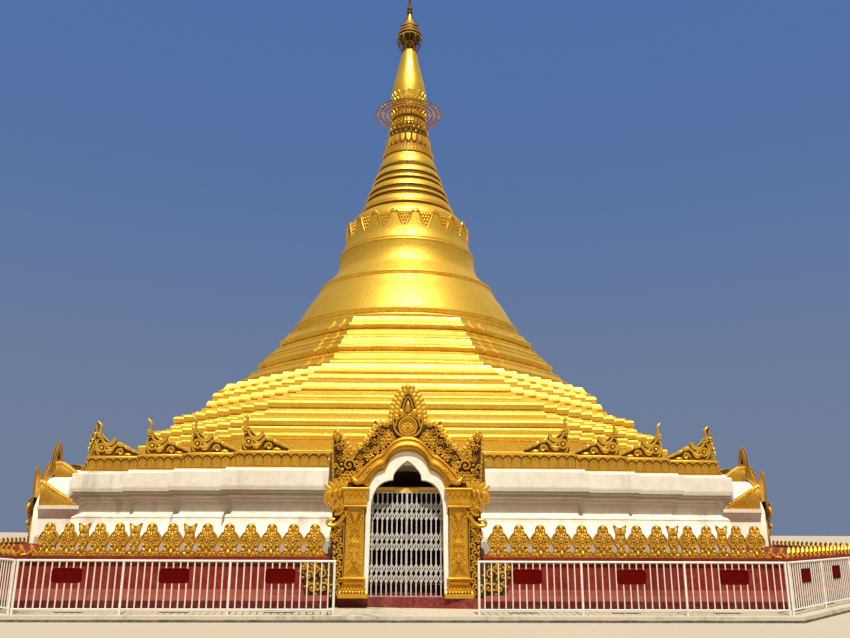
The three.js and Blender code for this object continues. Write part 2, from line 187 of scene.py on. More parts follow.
def mitres(outline: Sequence[Vector]) -> list[Vector]:
    """Finds how far each corner of an anticlockwise outline moves for one unit of outward offset."""
    shifts = []
    for i, point in enumerate(outline):
        a = (point - outline[i - 1]).normalized()
        b = (outline[(i + 1) % len(outline)] - point).normalized()
        shifts.append(Vector((a.y + b.y, -a.x - b.x)) / (1 + a.dot(b)))
    return shifts


def offset_plan(outline: Sequence[Vector]) -> Callable[[float], list[Vector]]:
    """Gives a function that draws an anticlockwise outline at an outward offset."""
    shifts = mitres(outline)

    def plan(offset: float) -> list[Vector]:
        """Draws the outline at the offset."""
        return [point + shift * offset for point, shift in zip(outline, shifts)]

    return plan


def bay_quarter() -> list[Pair]:
    """Draws one quarter of the base plan, whose middle bays stand forward in shallow steps."""
    quarter: list[Pair] = []
    for (half, face), (_, next_face) in zip(BASE_BAYS, BASE_BAYS[1:]):
        quarter += [(face, half), (next_face, half)]
    quarter.append(BASE_BAYS[-1])
    for (half, face), (_, next_face) in reversed(list(zip(BASE_BAYS, BASE_BAYS[1:]))):
        quarter += [(half, next_face), (half, face)]
    return quarter


def spiral(centre: Pair, start: float, turns: float, angle: float, hand: int, steps: int = 16) -> list[Pair]:
    """Draws a spiral from its outer end to its middle.

    Args:
        centre: The middle of the spiral.
        start: Radius of the outer end.
        turns: Number of turns.
        angle: Direction of the outer end from the middle, in degrees.
        hand: 1 to wind anticlockwise, -1 clockwise.
        steps: Number of stretches.

    Returns:
        The points from the outer end to the middle.
    """
    points = []
    for i in range(steps + 1):
        part = i / steps
        radius = start * (1 - 0.86 * part)
        turn = math.radians(angle) + hand * math.tau * turns * part
        points.append((centre[0] + radius * math.cos(turn), centre[1] + radius * math.sin(turn)))
    return points


def arc(start: Pair, pull: Pair, end: Pair, steps: int = 8) -> list[Pair]:
    """Draws a curve between two points that a third one pulls, without its first point."""
    points = []
    for i in range(1, steps + 1):
        t = i / steps
        a, b, c = (1 - t) ** 2, 2 * t * (1 - t), t * t
        points.append(tuple(a * p + b * q + c * r for p, q, r in zip(start, pull, end)))
    return points


def curve(start: Pair, pull: Pair, end: Pair, steps: int = 8) -> list[Pair]:
    """Draws the same curve with its first point."""
    return [start, *arc(start, pull, end, steps)]


def circle(centre: Pair, radius: float, count: int, start: float = 0.0, closed: bool = False) -> list[Pair]:
    """Draws a circle.

    Args:
        centre: Its middle.
        radius: Its radius.
        count: Number of stretches.
        start: Where the first point lies, in stretches.
        closed: Whether the first point comes again at the end.

    Returns:
        The points, anticlockwise.
    """
    turns = [math.tau * (i + start) / count for i in range(count + closed)]
    return [(centre[0] + radius * math.cos(turn), centre[1] + radius * math.sin(turn)) for turn in turns]


def flip(points: Iterable[Pair]) -> list[Pair]:
    """Mirrors [across, height] points to the other hand, in the other order."""
    return [(-x, z) for x, z in points][::-1]


# Meshes under construction


class Work:
    """A mesh under construction out of closed shells, with a relief value on every vertex."""

    def __init__(self) -> None:
        """Starts an empty mesh."""
        self.bm = bmesh.new()
        self.relief = self.bm.verts.layers.float.new("relief")

    def ring(self, points: Iterable[Vector]) -> Loop:
        """Starts a shell with a closed loop of edges."""
        loop = [self.bm.verts.new(point) for point in points]
        for a, b in zip(loop, loop[1:] + loop[:1]):
            self.bm.edges.new((a, b))
        return loop

    def edges(self, loop: Loop) -> list[bmesh.types.BMEdge]:
        """Finds the edges of a closed loop."""
        return [self.bm.edges.get(pair) for pair in zip(loop, loop[1:] + loop[:1])]

    def raise_ring(self, loop: Loop, points: Iterable[Vector]) -> Loop:
        """Extrudes a closed loop of edges to new places.

        Args:
            loop: The loop's vertices in order.
            points: A new place for each of them.

        Returns:
            The new loop, in the same order.
        """
        made = bmesh.ops.extrude_edge_only(self.bm, edges=self.edges(loop))["geom"]
        fresh = {item for item in made if isinstance(item, bmesh.types.BMVert)}
        risen = []
        for vert, point in zip(loop, points):
            copy = next(e.other_vert(vert) for e in vert.link_edges if e.other_vert(vert) in fresh)
            copy.co = point
            risen.append(copy)
        return risen

    def lid(self, loop: Loop) -> None:
        """Closes an end of a shell with one face."""
        bmesh.ops.edgeloop_fill(self.bm, edges=self.edges(loop))

    def shell(self, rings: Sequence[Sequence[Vector]], closed: bool = False) -> None:
        """Makes a closed shell through rings of equally many points.

        Args:
            rings: The rings from one end to the other.
            closed: Whether the last ring joins the first, as in a tyre, in place of two lids.
        """
        first = loop = self.ring(rings[0])
        for points in rings[1:]:
            loop = self.raise_ring(loop, points)
        if closed:
            bmesh.ops.bridge_loops(self.bm, edges=self.edges(first) + self.edges(loop))
        else:
            self.lid(first)
            self.lid(loop)

    def course(self, plan: Callable[[float], list[Vector]], profile: Profile) -> None:
        """Makes a moulded course whose plan at each height is the outline at that offset."""
        self.shell([[Vector((p.x, p.y, z)) for p in plan(offset)] for offset, z in profile.points])

    def lathe(self, profile: Profile, segments: int) -> None:
        """Turns a profile of [radius, height] about the Z axis and closes it on the axis."""
        points = profile.points
        if points[0][0] > 0:
            points = [(0.0, points[0][1]), *points]
        if points[-1][0] > 0:
            points = [*points, (0.0, points[-1][1])]
        chain = [self.bm.verts.new((radius, 0.0, z)) for radius, z in points]
        edges = [self.bm.edges.new(pair) for pair in zip(chain, chain[1:])]
        bmesh.ops.spin(
            self.bm,
            geom=chain + edges,
            cent=(0, 0, 0),
            axis=(0, 0, 1),
            dvec=(0, 0, 0),
            angle=math.tau,
            steps=segments,
            use_merge=True,
            use_duplicate=False,
        )

    def plate(self, outline: Sequence[Pair], back: float, steps: Sequence[Pair]) -> None:
        """Makes an upright plate that faces -Y.

        Args:
            outline: [across, height] points.
            back: Distance of its back in front of the centre.
            steps: [inset towards its middle, distance] of the edges of its front, from the back forward.
        """
        points = [Vector(p) for p in outline]
        if sum(a.x * b.y - b.x * a.y for a, b in zip(points, points[1:] + points[:1])) < 0:
            points.reverse()
        shifts = mitres(points)
        rings = [[Vector((p.x, -back, p.y)) for p in points]]
        for inset, front in steps:
            inner = [point - shift * inset for point, shift in zip(points, shifts)]
            rings.append([Vector((p.x, -front, p.y)) for p in inner])
        self.shell(rings)

    def pillow(self, outline: Sequence[Pair], back: float, front: float, rise: Sequence[Pair]) -> None:
        """Makes a raised boss that shrinks towards its middle as it comes forward.

        Args:
            outline: [across, height] points.
            back: Distance of its back in front of the centre.
            front: Distance of its highest point in front of the centre.
            rise: [scale, share of the way forward] of each step.
        """
        points = [Vector(p) for p in outline]
        middle = sum(points, Vector((0, 0))) / len(points)
        rings = []
        for scale, share in ((1.0, 0.0), *rise):
            y = -(back + (front - back) * share)
            rings.append([Vector((q.x, y, q.y)) for q in (middle + (p - middle) * scale for p in points)])
        self.shell(rings)

    def tube(
        self, path: Sequence[Vector], radii: Sequence[float], sides: int = 6, up: Vector | None = None
    ) -> None:
        """Makes a round bar along a path, with its own radius at each point."""
        up = up or Vector((0, 1, 0))
        rings = []
        for i, point in enumerate(path):
            run = (path[min(i + 1, len(path) - 1)] - path[max(i - 1, 0)]).normalized()
            side = run.cross(up).normalized()
            rise = side.cross(run)
            rings.append(
                [point + (side * x + rise * y) * radii[i] for x, y in circle((0.0, 0.0), 1.0, sides)]
            )
        self.shell(rings)

    def vine(self, path: Sequence[Pair], front: float, thick: Pair, sides: int = 6) -> None:
        """Makes a tapering bar along [across, height] points at one distance in front of the centre."""
        count = len(path) - 1
        radii = [thick[0] + (thick[1] - thick[0]) * i / count for i in range(count + 1)]
        self.tube([Vector((x, -front, z)) for x, z in path], radii, sides)

    def band(self, path: Sequence[Pair], section: Sequence[Pair], back: float) -> None:
        """Sweeps a moulding along an upright path.

        Args:
            path: [across, height] points.
            section: [to the right of the path, forward] points of the moulding's closed section.
            back: Distance of the section's zero in front of the centre.
        """
        points = [Vector(p) for p in path]
        rings = []
        for i, point in enumerate(points):
            a = (point - points[i - 1]).normalized() if i else (points[1] - point).normalized()
            b = (points[i + 1] - point).normalized() if i + 1 < len(points) else a
            shift = Vector((a.y + b.y, -a.x - b.x)) / (1 + a.dot(b))
            spots = [(point + shift * right, forward) for right, forward in section]
            rings.append([Vector((spot.x, -back - forward, spot.y)) for spot, forward in spots])
        self.shell(rings)

    def block(self, low: Sequence[float], high: Sequence[float]) -> None:
        """Makes a box from its lowest to its highest corner."""
        size = Vector(high) - Vector(low)
        matrix = Matrix.Translation(Vector(low) + size / 2) @ Matrix.Diagonal((*size, 1))
        bmesh.ops.create_cube(self.bm, size=1, matrix=matrix)

    def ball(self, centre: Sequence[float], radius: float) -> None:
        """Makes a bead."""
        place = Matrix.Translation(centre)
        bmesh.ops.create_icosphere(self.bm, subdivisions=1, radius=radius, matrix=place)

    def mark(self, value: Callable[[Vector], float]) -> None:
        """Writes the relief of every vertex so far, 0 in a recess and 1 on a high place; a gilded finish
        paints shade where it is low.
        """
        for vert in self.bm.verts:
            vert[self.relief] = min(max(value(vert.co), 0.0), 1.0)

    def stamp(self, template: bpy.types.Mesh, *places: Matrix) -> None:
        """Adds a template where it is or at each place, turned the right way out where mirrored."""
        for place in places or (Matrix.Identity(4),):
            verts, faces = len(self.bm.verts), len(self.bm.faces)
            self.bm.from_mesh(template)
            self.bm.verts.ensure_lookup_table()
            bmesh.ops.transform(self.bm, matrix=place, verts=self.bm.verts[verts:])
            if place.determinant() < 0:
                self.bm.faces.ensure_lookup_table()
                bmesh.ops.reverse_faces(self.bm, faces=self.bm.faces[faces:])
        self.relief = self.bm.verts.layers.float["relief"]

    def mesh(self, name: str, crease: float = 32) -> bpy.types.Mesh:
        """Closes the work as a mesh with outward faces, smooth but for its sharper edges.

        Args:
            name: The mesh's name.
            crease: Angle in degrees from which an edge stays sharp.

        Returns:
            The mesh.
        """
        bmesh.ops.remove_doubles(self.bm, verts=self.bm.verts, dist=1e-6)
        bmesh.ops.recalc_face_normals(self.bm, faces=self.bm.faces)
        sharp = math.radians(crease)
        for face in self.bm.faces:
            face.smooth = True
        for edge in self.bm.edges:
            edge.smooth = edge.calc_face_angle(0.0) < sharp
        mesh = bpy.data.meshes.new(name)
        self.bm.to_mesh(mesh)
        self.bm.free()
        return mesh


@dataclass(frozen=True)
class Dress:
    """How a finished mesh enters the scene."""

    material: bpy.types.Material
    slot: str
    nodes: tuple[str, ...] = ()

    def show(self, name: str, mesh: bpy.types.Mesh) -> None:
        """Makes the piece, rides it on the body and lets it stand for its nodes.

        Args:
            name: The piece's name.
            mesh: Its finished mesh, in place.
        """
        piece = bpy.data.objects.new(name, mesh)
        bpy.context.scene.collection.objects.link(piece)
        mesh.materials.clear()
        mesh.materials.append(self.material)
        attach(piece, "root")
        if self.nodes:
            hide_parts(*self.nodes)
        LOG.info("%s: %d faces", name, len(mesh.polygons))

    def show_turned(self, name: str, mesh: bpy.types.Mesh, places: Iterable[Place]) -> None:
        """Shows a copy of a mesh at each place, whose label fills the braces in the names.

        Args:
            name: The pieces' name, with braces for the label; the nodes' names have them too.
            mesh: The mesh at the first side or corner.
            places: The sides or corners to show it at.
        """
        for place in places:
            copy = mesh.copy()
            copy.transform(place.turn)
            nodes = tuple(node.format(place.label) for node in self.nodes)
            replace(self, nodes=nodes).show(name.format(place.label), copy)


def show_courses(
    material: bpy.types.Material, plan: Callable[[float], list[Vector]], sides: dict[str, Profile]
) -> None:
    """Shows a moulded course for each node's side, over one plan."""
    for name, side in sides.items():
        work = Work()
        work.course(plan, side)
        Dress(material, "gold_paint", (name,)).show("gilded_" + name, work.mesh(name))


# Shader node groups and finishes


class Tree:
    """A short way to add and link the nodes of one shader tree."""

    def __init__(self, tree: bpy.types.NodeTree) -> None:
        """Takes the tree to fill."""
        self.tree = tree

    def give(self, node: bpy.types.Node, values: dict[str | int, object]) -> None:
        """Sets each input of a node, by name or number, or links an output to it."""
        for key, value in values.items():
            if isinstance(value, bpy.types.NodeSocket):
                self.tree.links.new(value, node.inputs[key])
            else:
                node.inputs[key].default_value = value

    def add(
        self, kind: str, values: dict[str | int, object] | None = None, **settings: object
    ) -> bpy.types.Node:
        """Adds a node.

        Args:
            kind: The node's type, without its ShaderNode prefix.
            values: A value or an output to link for each input, by name or number.
            settings: The node's own settings.

        Returns:
            The node.
        """
        node = self.tree.nodes.new(kind if kind.startswith("Node") else "ShaderNode" + kind)
        for key, value in settings.items():
            setattr(node, key, value)
        self.give(node, values or {})
        return node

    def noise(self, vector: bpy.types.NodeSocket, scale: float, detail: float) -> bpy.types.NodeSocket:
        """Adds a noise texture and returns its value."""
        values = {"Vector": vector, "Scale": scale, "Detail": detail, "Roughness": 0.6}
        return self.add("TexNoise", values).outputs["Fac"]

    def ramp(self, value: bpy.types.NodeSocket, low: float, high: float) -> bpy.types.NodeSocket:
        """Stretches a value so that low becomes 0 and high becomes 1, smoothly."""
        values = {"Value": value, "From Min": low, "From Max": high}
        return self.add("MapRange", values, interpolation_type="SMOOTHSTEP").outputs["Result"]

    def math(self, operation: str, a: object, b: object = 0.0) -> bpy.types.NodeSocket:
        """Adds an arithmetic node and returns its value."""
        return self.add("Math", {0: a, 1: b}, operation=operation).outputs[0]

    def times(self, *factors: object) -> bpy.types.NodeSocket:
        """Multiplies values, from the left."""
        product = self.math("MULTIPLY", factors[0], factors[1])
        for factor in factors[2:]:
            product = self.math("MULTIPLY", product, factor)
        return product

    def mix(self, share: object, a: object, b: object) -> bpy.types.NodeSocket:
        """Mixes two colours and returns the result."""
        node = self.add("Mix", {"Factor": share, 6: a, 7: b}, data_type="RGBA", blend_type="MIX")
        return node.outputs[2]

    def place(self, scale: Sequence[float] = (1, 1, 1)) -> bpy.types.NodeSocket:
        """Gives the object coordinates, stretched by a scale."""
        coordinates = self.add("TexCoord").outputs["Object"]
        return self.add("Mapping", {"Vector": coordinates, "Scale": scale}).outputs["Vector"]


def new_group(
    name: str, inputs: dict[str, float], outputs: dict[str, str]
) -> tuple[bpy.types.NodeTree, Tree, object]:
    """Starts a node group with number inputs.

    Args:
        name: The group's name.
        inputs: Default of each number input.
        outputs: Socket type of each output.

    Returns:
        The group, a tree to fill it and its input node.
    """
    group = bpy.data.node_groups.new(name, "ShaderNodeTree")
    for title, value in inputs.items():
        socket = group.interface.new_socket(title, in_out="INPUT", socket_type="NodeSocketFloat")
        socket.default_value = value
    for title, kind in outputs.items():
        group.interface.new_socket(title, in_out="OUTPUT", socket_type=kind)
    tree = Tree(group)
    return group, tree, tree.add("NodeGroupInput")


class Effects:
    """The node groups that several finishes share."""

    def __init__(self) -> None:
        """Builds the groups once."""
        self.mottle = self._mottle()
        self.streaks = self._streaks()
        self.dents = self._dents()

    def _mottle(self) -> bpy.types.NodeTree:
        """Cloudy patches at two scales, as of uneven paint or leaf."""
        group, tree, start = new_group("mottle", {"Scale": 1.0}, {"Mask": "NodeSocketFloat"})
        vector = tree.place()
        broad = tree.add("TexNoise", {"Vector": vector, "Scale": start.outputs["Scale"], "Detail": 4.0})
        fine_scale = tree.times(start.outputs["Scale"], 9.0)
        fine = tree.add("TexNoise", {"Vector": vector, "Scale": fine_scale, "Detail": 3.0})
        both = tree.math("ADD", tree.times(broad.outputs["Fac"], 0.6), fine.outputs["Fac"])
        tree.add("NodeGroupOutput", {"Mask": tree.ramp(both, 0.6, 1.0)})
        return group

    def _streaks(self) -> bpy.types.NodeTree:
        """Rain streaks that run down upright faces."""
        group, tree, start = new_group(
            "rain_streaks", {"Scale": 1.0, "Cover": 0.5}, {"Mask": "NodeSocketFloat"}
        )
        vector = tree.place((1.0, 1.0, 0.09))
        lines = tree.add("TexNoise", {"Vector": vector, "Scale": start.outputs["Scale"], "Detail": 5.0})
        broad = tree.noise(tree.place(), 0.45, 2)
        bare = tree.math("SUBTRACT", 1.0, start.outputs["Cover"])
        wet = tree.times(lines.outputs["Fac"], broad)
        over = tree.math("SUBTRACT", wet, tree.times(bare, 0.5))
        tree.add("NodeGroupOutput", {"Mask": tree.ramp(over, 0.0, 0.16)})
        return group

    def _dents(self) -> bpy.types.NodeTree:
        """Small unevenness of a worked surface, as a bump normal."""
        group, tree, start = new_group(
            "dents", {"Scale": 10.0, "Depth": 0.01}, {"Normal": "NodeSocketVector"}
        )
        vector = tree.place()
        coarse = tree.add("TexNoise", {"Vector": vector, "Scale": start.outputs["Scale"], "Detail": 3.0})
        depth = start.outputs["Depth"]
        bump = tree.add("Bump", {"Height": coarse.outputs["Fac"], "Distance": depth, "Strength": 0.6})
        tree.add("NodeGroupOutput", {"Normal": bump.outputs["Normal"]})
        return group

    def use(self, tree: Tree, group: bpy.types.NodeTree, **values: float) -> bpy.types.NodeSocket:
        """Places a group in a material and returns its output."""
        node = tree.add("Group", node_tree=group)
        for key, value in values.items():
            node.inputs[key].default_value = value
        return node.outputs[0]


Colour = tuple[float, float, float, float]


def rgb(red: float, green: float, blue: float) -> Colour:
    """Gives an opaque colour in linear light."""
    return (red, green, blue, 1.0)


def new_material(name: str, colour: Colour) -> tuple[bpy.types.Material, Tree, bpy.types.Node]:
    """Starts a material with its own shader.

    Args:
        name: The material's name.
        colour: Its colour in a plain viewport.

    Returns:
        The material, a tree to fill it and its shader node.
    """
    material = bpy.data.materials.new(name)
    material.use_nodes = True
    material.diffuse_color = colour
    return material, Tree(material.node_tree), material.node_tree.nodes["Principled BSDF"]


@dataclass(frozen=True)
class Gilding:
    """Gold paint: bright where it is clean, browner in patches, and with painted shade in the recesses of
    carving.
    """

    bright: Colour = rgb(0.85, 0.565, 0.07)
    worn: Colour = rgb(0.7, 0.4, 0.04)
    # Near-black colour of the painted shade in the recesses of carving
    recess: Colour = rgb(0.055, 0.02, 0.004)
    roughness: float = 0.38
    metal: float = 0.7
    # Share of painted shade laid into the carving's recesses
    carved: float = 0.0
    grain: float = 1.6
    dent: float = 0.012

    def material(self, name: str, effects: Effects) -> bpy.types.Material:
        """Builds the finish.

        Args:
            name: The material's name.
            effects: The shared node groups.

        Returns:
            The material.
        """
        material, tree, shader = new_material(name, self.bright)
        patches = effects.use(tree, effects.mottle, Scale=self.grain)
        streaks = effects.use(tree, effects.streaks, Scale=3.0, Cover=0.42)
        colour = tree.mix(patches, self.bright, self.worn)
        colour = tree.mix(tree.times(streaks, 0.55), colour, self.worn)
        rough = tree.math("ADD", tree.times(patches, 0.12), self.roughness)
        # Painted shade: where the relief value is low, the colour goes towards the near-black recess colour
        if self.carved:
            height = tree.add("Attribute", attribute_name="relief").outputs["Fac"]
            grit = tree.times(tree.noise(tree.place(), 22.0, 2), 0.35)
            deep = tree.ramp(tree.math("ADD", height, grit), 0.12, 0.75)
            shade = tree.times(tree.math("SUBTRACT", 1.0, deep), self.carved)
            colour = tree.mix(shade, colour, self.recess)
            rough = tree.math("ADD", rough, tree.times(shade, 0.3))
        normal = effects.use(tree, effects.dents, Scale=14.0, Depth=self.dent)
        tree.give(
            shader, {"Base Color": colour, "Roughness": rough, "Normal": normal, "Metallic": self.metal}
        )
        return material


@dataclass(frozen=True)
class Limewash:
    """Cream limewash, run down in streaks, with grey bands of painted shade under the ledges, over the dado
    and at the foot.
    """

    clean: Colour = rgb(0.84, 0.82, 0.71)
    # Grey of the painted shade
    warm: Colour = rgb(0.77, 0.72, 0.58)
    soot: Colour = rgb(0.34, 0.33, 0.24)
    # Bands of painted shade: lowest and highest height, and share of the shade grey
    sooty: tuple[tuple[float, float, float], ...] = (
        (0.99, 1.3, 0.75),
        (2.16, 2.44, 0.55),
        (2.0, 2.2, 0.22),
    )
    dirt: Colour = rgb(0.2, 0.165, 0.12)
    amount: float = 0.45

    def material(self, name: str, effects: Effects) -> bpy.types.Material:
        """Builds the finish and returns it."""
        material, tree, shader = new_material(name, self.clean)
        colour = tree.mix(effects.use(tree, effects.mottle, Scale=0.7), self.clean, self.warm)
        streaks = effects.use(tree, effects.streaks, Scale=4.0, Cover=self.amount)
        colour = tree.mix(tree.times(streaks, 0.36), colour, self.dirt)
        height = tree.add("SeparateXYZ", {0: tree.place()}).outputs["Z"]
        # Painted shade: each band greys the wash between its heights, under the ledges and behind the
        # merlons
        for low, high, share in self.sooty:
            rise = tree.ramp(height, low, low + 0.03)
            fall = tree.math("SUBTRACT", 1.0, tree.ramp(height, high - 0.06, high))
            cover = tree.times(rise, fall, share)
            colour = tree.mix(cover, colour, self.soot)
        cracks = tree.add(
            "TexVoronoi",
            {"Vector": tree.place((0.8, 0.8, 1.6)), "Scale": 1.1, "Randomness": 1.0},
            feature="DISTANCE_TO_EDGE",
        )
        line = tree.math("SUBTRACT", 1.0, tree.ramp(cracks.outputs["Distance"], 0.0, 0.006))
        patch = tree.ramp(tree.noise(tree.place(), 0.5, 1), 0.55, 0.7)
        colour = tree.mix(tree.times(line, patch, 0.5), colour, self.dirt)
        normal = effects.use(tree, effects.dents, Scale=9.0, Depth=0.006)
        tree.give(shader, {"Base Color": colour, "Normal": normal, "Roughness": 0.85})
        return material


@dataclass(frozen=True)
class BandedPaint:
    """Plinth paint in bands of height: maroon at the foot, a paler washed band, deep red above."""

    bands: tuple[tuple[float, Colour], ...] = (
        (0.1, rgb(0.075, 0.004, 0.003)),
        (0.24, rgb(0.335, 0.085, 0.06)),
        (0.435, rgb(0.205, 0.012, 0.005)),
        (0.9, rgb(0.185, 0.012, 0.006)),
    )
    pale: Colour = rgb(0.42, 0.16, 0.12)
    dark: Colour = rgb(0.11, 0.008, 0.004)
    specular: float = 0.12

    def material(self, name: str, effects: Effects) -> bpy.types.Material:
        """Builds the finish and returns it."""
        material, tree, shader = new_material(name, self.bands[-1][1])
        height = tree.add("SeparateXYZ", {0: tree.place()}).outputs["Z"]
        wobble = tree.times(tree.noise(tree.place(), 3.0, 2), 0.02)
        height = tree.math("ADD", height, wobble)
        colour: object = self.bands[0][1]
        for level, paint in self.bands[1:]:
            colour = tree.mix(tree.ramp(height, level, level + 0.012), colour, paint)
        patches = effects.use(tree, effects.mottle, Scale=1.5)
        colour = tree.mix(tree.times(patches, 0.14), colour, self.pale)
        streaks = effects.use(tree, effects.streaks, Scale=5.0, Cover=0.5)
        colour = tree.mix(tree.times(streaks, 0.5), colour, self.dark)
        normal = effects.use(tree, effects.dents, Scale=12.0, Depth=0.004)
        tree.give(shader, {"Base Color": colour, "Normal": normal, "Roughness": 0.75})
        tree.give(shader, {"Specular IOR Level": self.specular})
        return material


@dataclass(frozen=True)
class Paint:
    """Plain brushed paint or bare render with patches, streaks and a worked surface."""

    colour: Colour
    patch: Colour
    streak: Colour
    roughness: float = 0.5
    cover: float = 0.4
    grain: float = 2.0
    dent: float = 0.002
    dent_scale: float = 30.0
    metal: float = 0.0
    specular: float = 0.25

    def material(self, name: str, effects: Effects) -> bpy.types.Material:
        """Builds the finish and returns it."""
        material, tree, shader = new_material(name, self.colour)
        colour = tree.mix(effects.use(tree, effects.mottle, Scale=self.grain), self.colour, self.patch)
        streaks = effects.use(tree, effects.streaks, Scale=6.0, Cover=self.cover)
        colour = tree.mix(tree.times(streaks, 0.6), colour, self.streak)
        normal = effects.use(tree, effects.dents, Scale=self.dent_scale, Depth=self.dent)
        tree.give(shader, {"Base Color": colour, "Normal": normal, "Roughness": self.roughness})
        tree.give(shader, {"Metallic": self.metal, "Specular IOR Level": self.specular})
        return material


class Finishes:
    """Every finish of the stupa, made once."""

    def __init__(self, effects: Effects) -> None:
        """Builds the materials."""
        self.gold = Gilding().material("gold_paint", effects)
        self.ringed = Gilding(carved=0.85).material("ringed_gold", effects)
        self.carved = Gilding(
            bright=rgb(0.88, 0.54, 0.075),
            worn=rgb(0.66, 0.36, 0.04),
            roughness=0.4,
            carved=0.8,
            grain=4.0,
            dent=0.006,
        ).material("carved_gold", effects)
        self.gate = Gilding(
            bright=rgb(0.76, 0.42, 0.035),
            worn=rgb(0.58, 0.29, 0.02),
            roughness=0.4,
            carved=0.97,
            grain=4.0,
            dent=0.006,
        ).material("gate_gold", effects)
        self.lintel = Paint(
            rgb(0.9, 0.55, 0.12), rgb(0.75, 0.42, 0.07), rgb(0.3, 0.15, 0.03), roughness=0.5, cover=0.3
        ).material("lintel_paint", effects)
        self.frieze = Gilding(
            bright=rgb(0.74, 0.42, 0.045),
            worn=rgb(0.52, 0.28, 0.03),
            roughness=0.42,
            carved=0.85,
            grain=3.0,
            dent=0.006,
        ).material("frieze_gold", effects)
        self.lime = Limewash().material("limewash", effects)
        self.arch = Limewash(sooty=()).material("arch_limewash", effects)
        self.plinth = BandedPaint().material("plinth_red", effects)
        self.floor = Paint(
            rgb(0.16, 0.018, 0.014), rgb(0.26, 0.06, 0.045), rgb(0.07, 0.02, 0.015), roughness=0.6
        ).material("floor_paint", effects)
        self.concrete = BandedPaint(
            bands=((0.0, rgb(0.075, 0.065, 0.045)), (0.045, rgb(0.52, 0.46, 0.36))),
            pale=rgb(0.64, 0.58, 0.48),
            dark=rgb(0.14, 0.12, 0.085),
        ).material("kerb_concrete", effects)
        self.fence = Paint(
            rgb(0.8, 0.78, 0.73), rgb(0.7, 0.66, 0.58), rgb(0.3, 0.2, 0.12), roughness=0.35, cover=0.34
        ).material("fence_paint", effects)
        self.grille = Paint(
            rgb(0.66, 0.64, 0.6), rgb(0.5, 0.47, 0.42), rgb(0.22, 0.15, 0.1), roughness=0.4, metal=0.2
        ).material("grille_paint", effects)
        self.plaque = Paint(
            rgb(0.085, 0.0012, 0.0008),
            rgb(0.1, 0.002, 0.001),
            rgb(0.06, 0.001, 0.001),
            roughness=0.9,
            cover=0.2,
            specular=0.04,
        ).material("plaque_paint", effects)
        self.umbrella = Gilding(
            bright=rgb(0.8, 0.5, 0.11), worn=rgb(0.52, 0.29, 0.06), roughness=0.32, metal=0.9, carved=0.9
        ).material("umbrella_metal", effects)


# Sub-assemblies


@dataclass
class GroundWorks:
    """The kerb platform, the maroon floor and the red plinth, whose solids are right as they stand."""

    finishes: Finishes

    def build(self) -> None:
        """Gives the carried-over solids their finishes."""
        self._paint("kerb_platform", self.finishes.concrete)
        self._paint("passage_floor", self.finishes.floor)
        self._paint("inner_core", self.finishes.lime)
        for corner in Corner:
            self._paint("plinth_" + corner.label, self.finishes.plinth)

    def _paint(self, node: str, material: bpy.types.Material) -> None:
        """Puts a material in every slot of a node's object."""
        solid = bpy.data.objects[node]
        for place in solid.material_slots:
            place.material = material
        LOG.info("%s: painted %s", node, material.name)


@dataclass
class WhiteBase:
    """Four white corner masses between the passages, moulded all round outside."""

    finishes: Finishes
    passage: float = 0.95
    chamber: float = 3.0
    porch: float = 1.4303
    porch_back: float = 9.44

    def build(self) -> None:
        """Builds the four masses."""
        work = Work()
        work.course(self._plan, self._profile())
        dress = Dress(self.finishes.lime, "limewash", ("base_{}",))
        dress.show_turned("white_base_{}", work.mesh("base_quarter"), Corner)

    def _profile(self) -> Profile:
        """Draws the side: foot, sloping cyma, dado, three fillets under the big fascia, and a lip."""
        side = Profile(0.12, PLINTH_TOP).to((0.12, 1.25), (0.09, 1.26), (0.09, 1.3))
        side.nose(0.0, 1.45, 0.12, 5).sweep(-0.13, 1.72, -0.1, 5).nose(-0.16, 1.8, 0.25, 4)
        side.to((-0.235, 1.815), (-0.235, 1.85), (-0.25, 1.86), (-0.25, 2.1))
        side.to((-0.2, 2.11), (-0.2, 2.15)).nose(-0.13, 2.2, -0.2, 4).to((-0.11, 2.205), (-0.11, 2.245))
        side.nose(-0.05, 2.285, -0.2, 4).to((-0.03, 2.29), (-0.03, 2.315), (0.0, 2.325), (0.0, 2.745))
        return side.to((-0.01, 2.755), (-0.085, 2.762), (-0.085, BASE_TOP))

    def _plan(self, offset: float) -> list[Vector]:
        """Draws the front right mass at an offset of its moulded side."""
        quarter = [Vector(p) for p in bay_quarter()]
        whole = fourfold(bay_quarter())
        shifts = mitres(whole)[: len(quarter)]
        moved = [point + shift * offset for point, shift in zip(quarter, shifts)]
        face = BASE_BAYS[0][1] + offset
        inner = min(self.porch_back, face)
        outline = [
            Vector((face, self.porch)), *moved, Vector((self.porch, face)), Vector((self.porch, inner)),
            Vector((self.passage, inner)), Vector((self.passage, self.chamber)),
            Vector((self.chamber, self.chamber)), Vector((self.chamber, self.passage)),
            Vector((inner, self.passage)),
        ]
        outline.append(Vector((inner, self.porch)))
        return [Matrix.Rotation(-QUARTER, 2) @ point for point in outline]


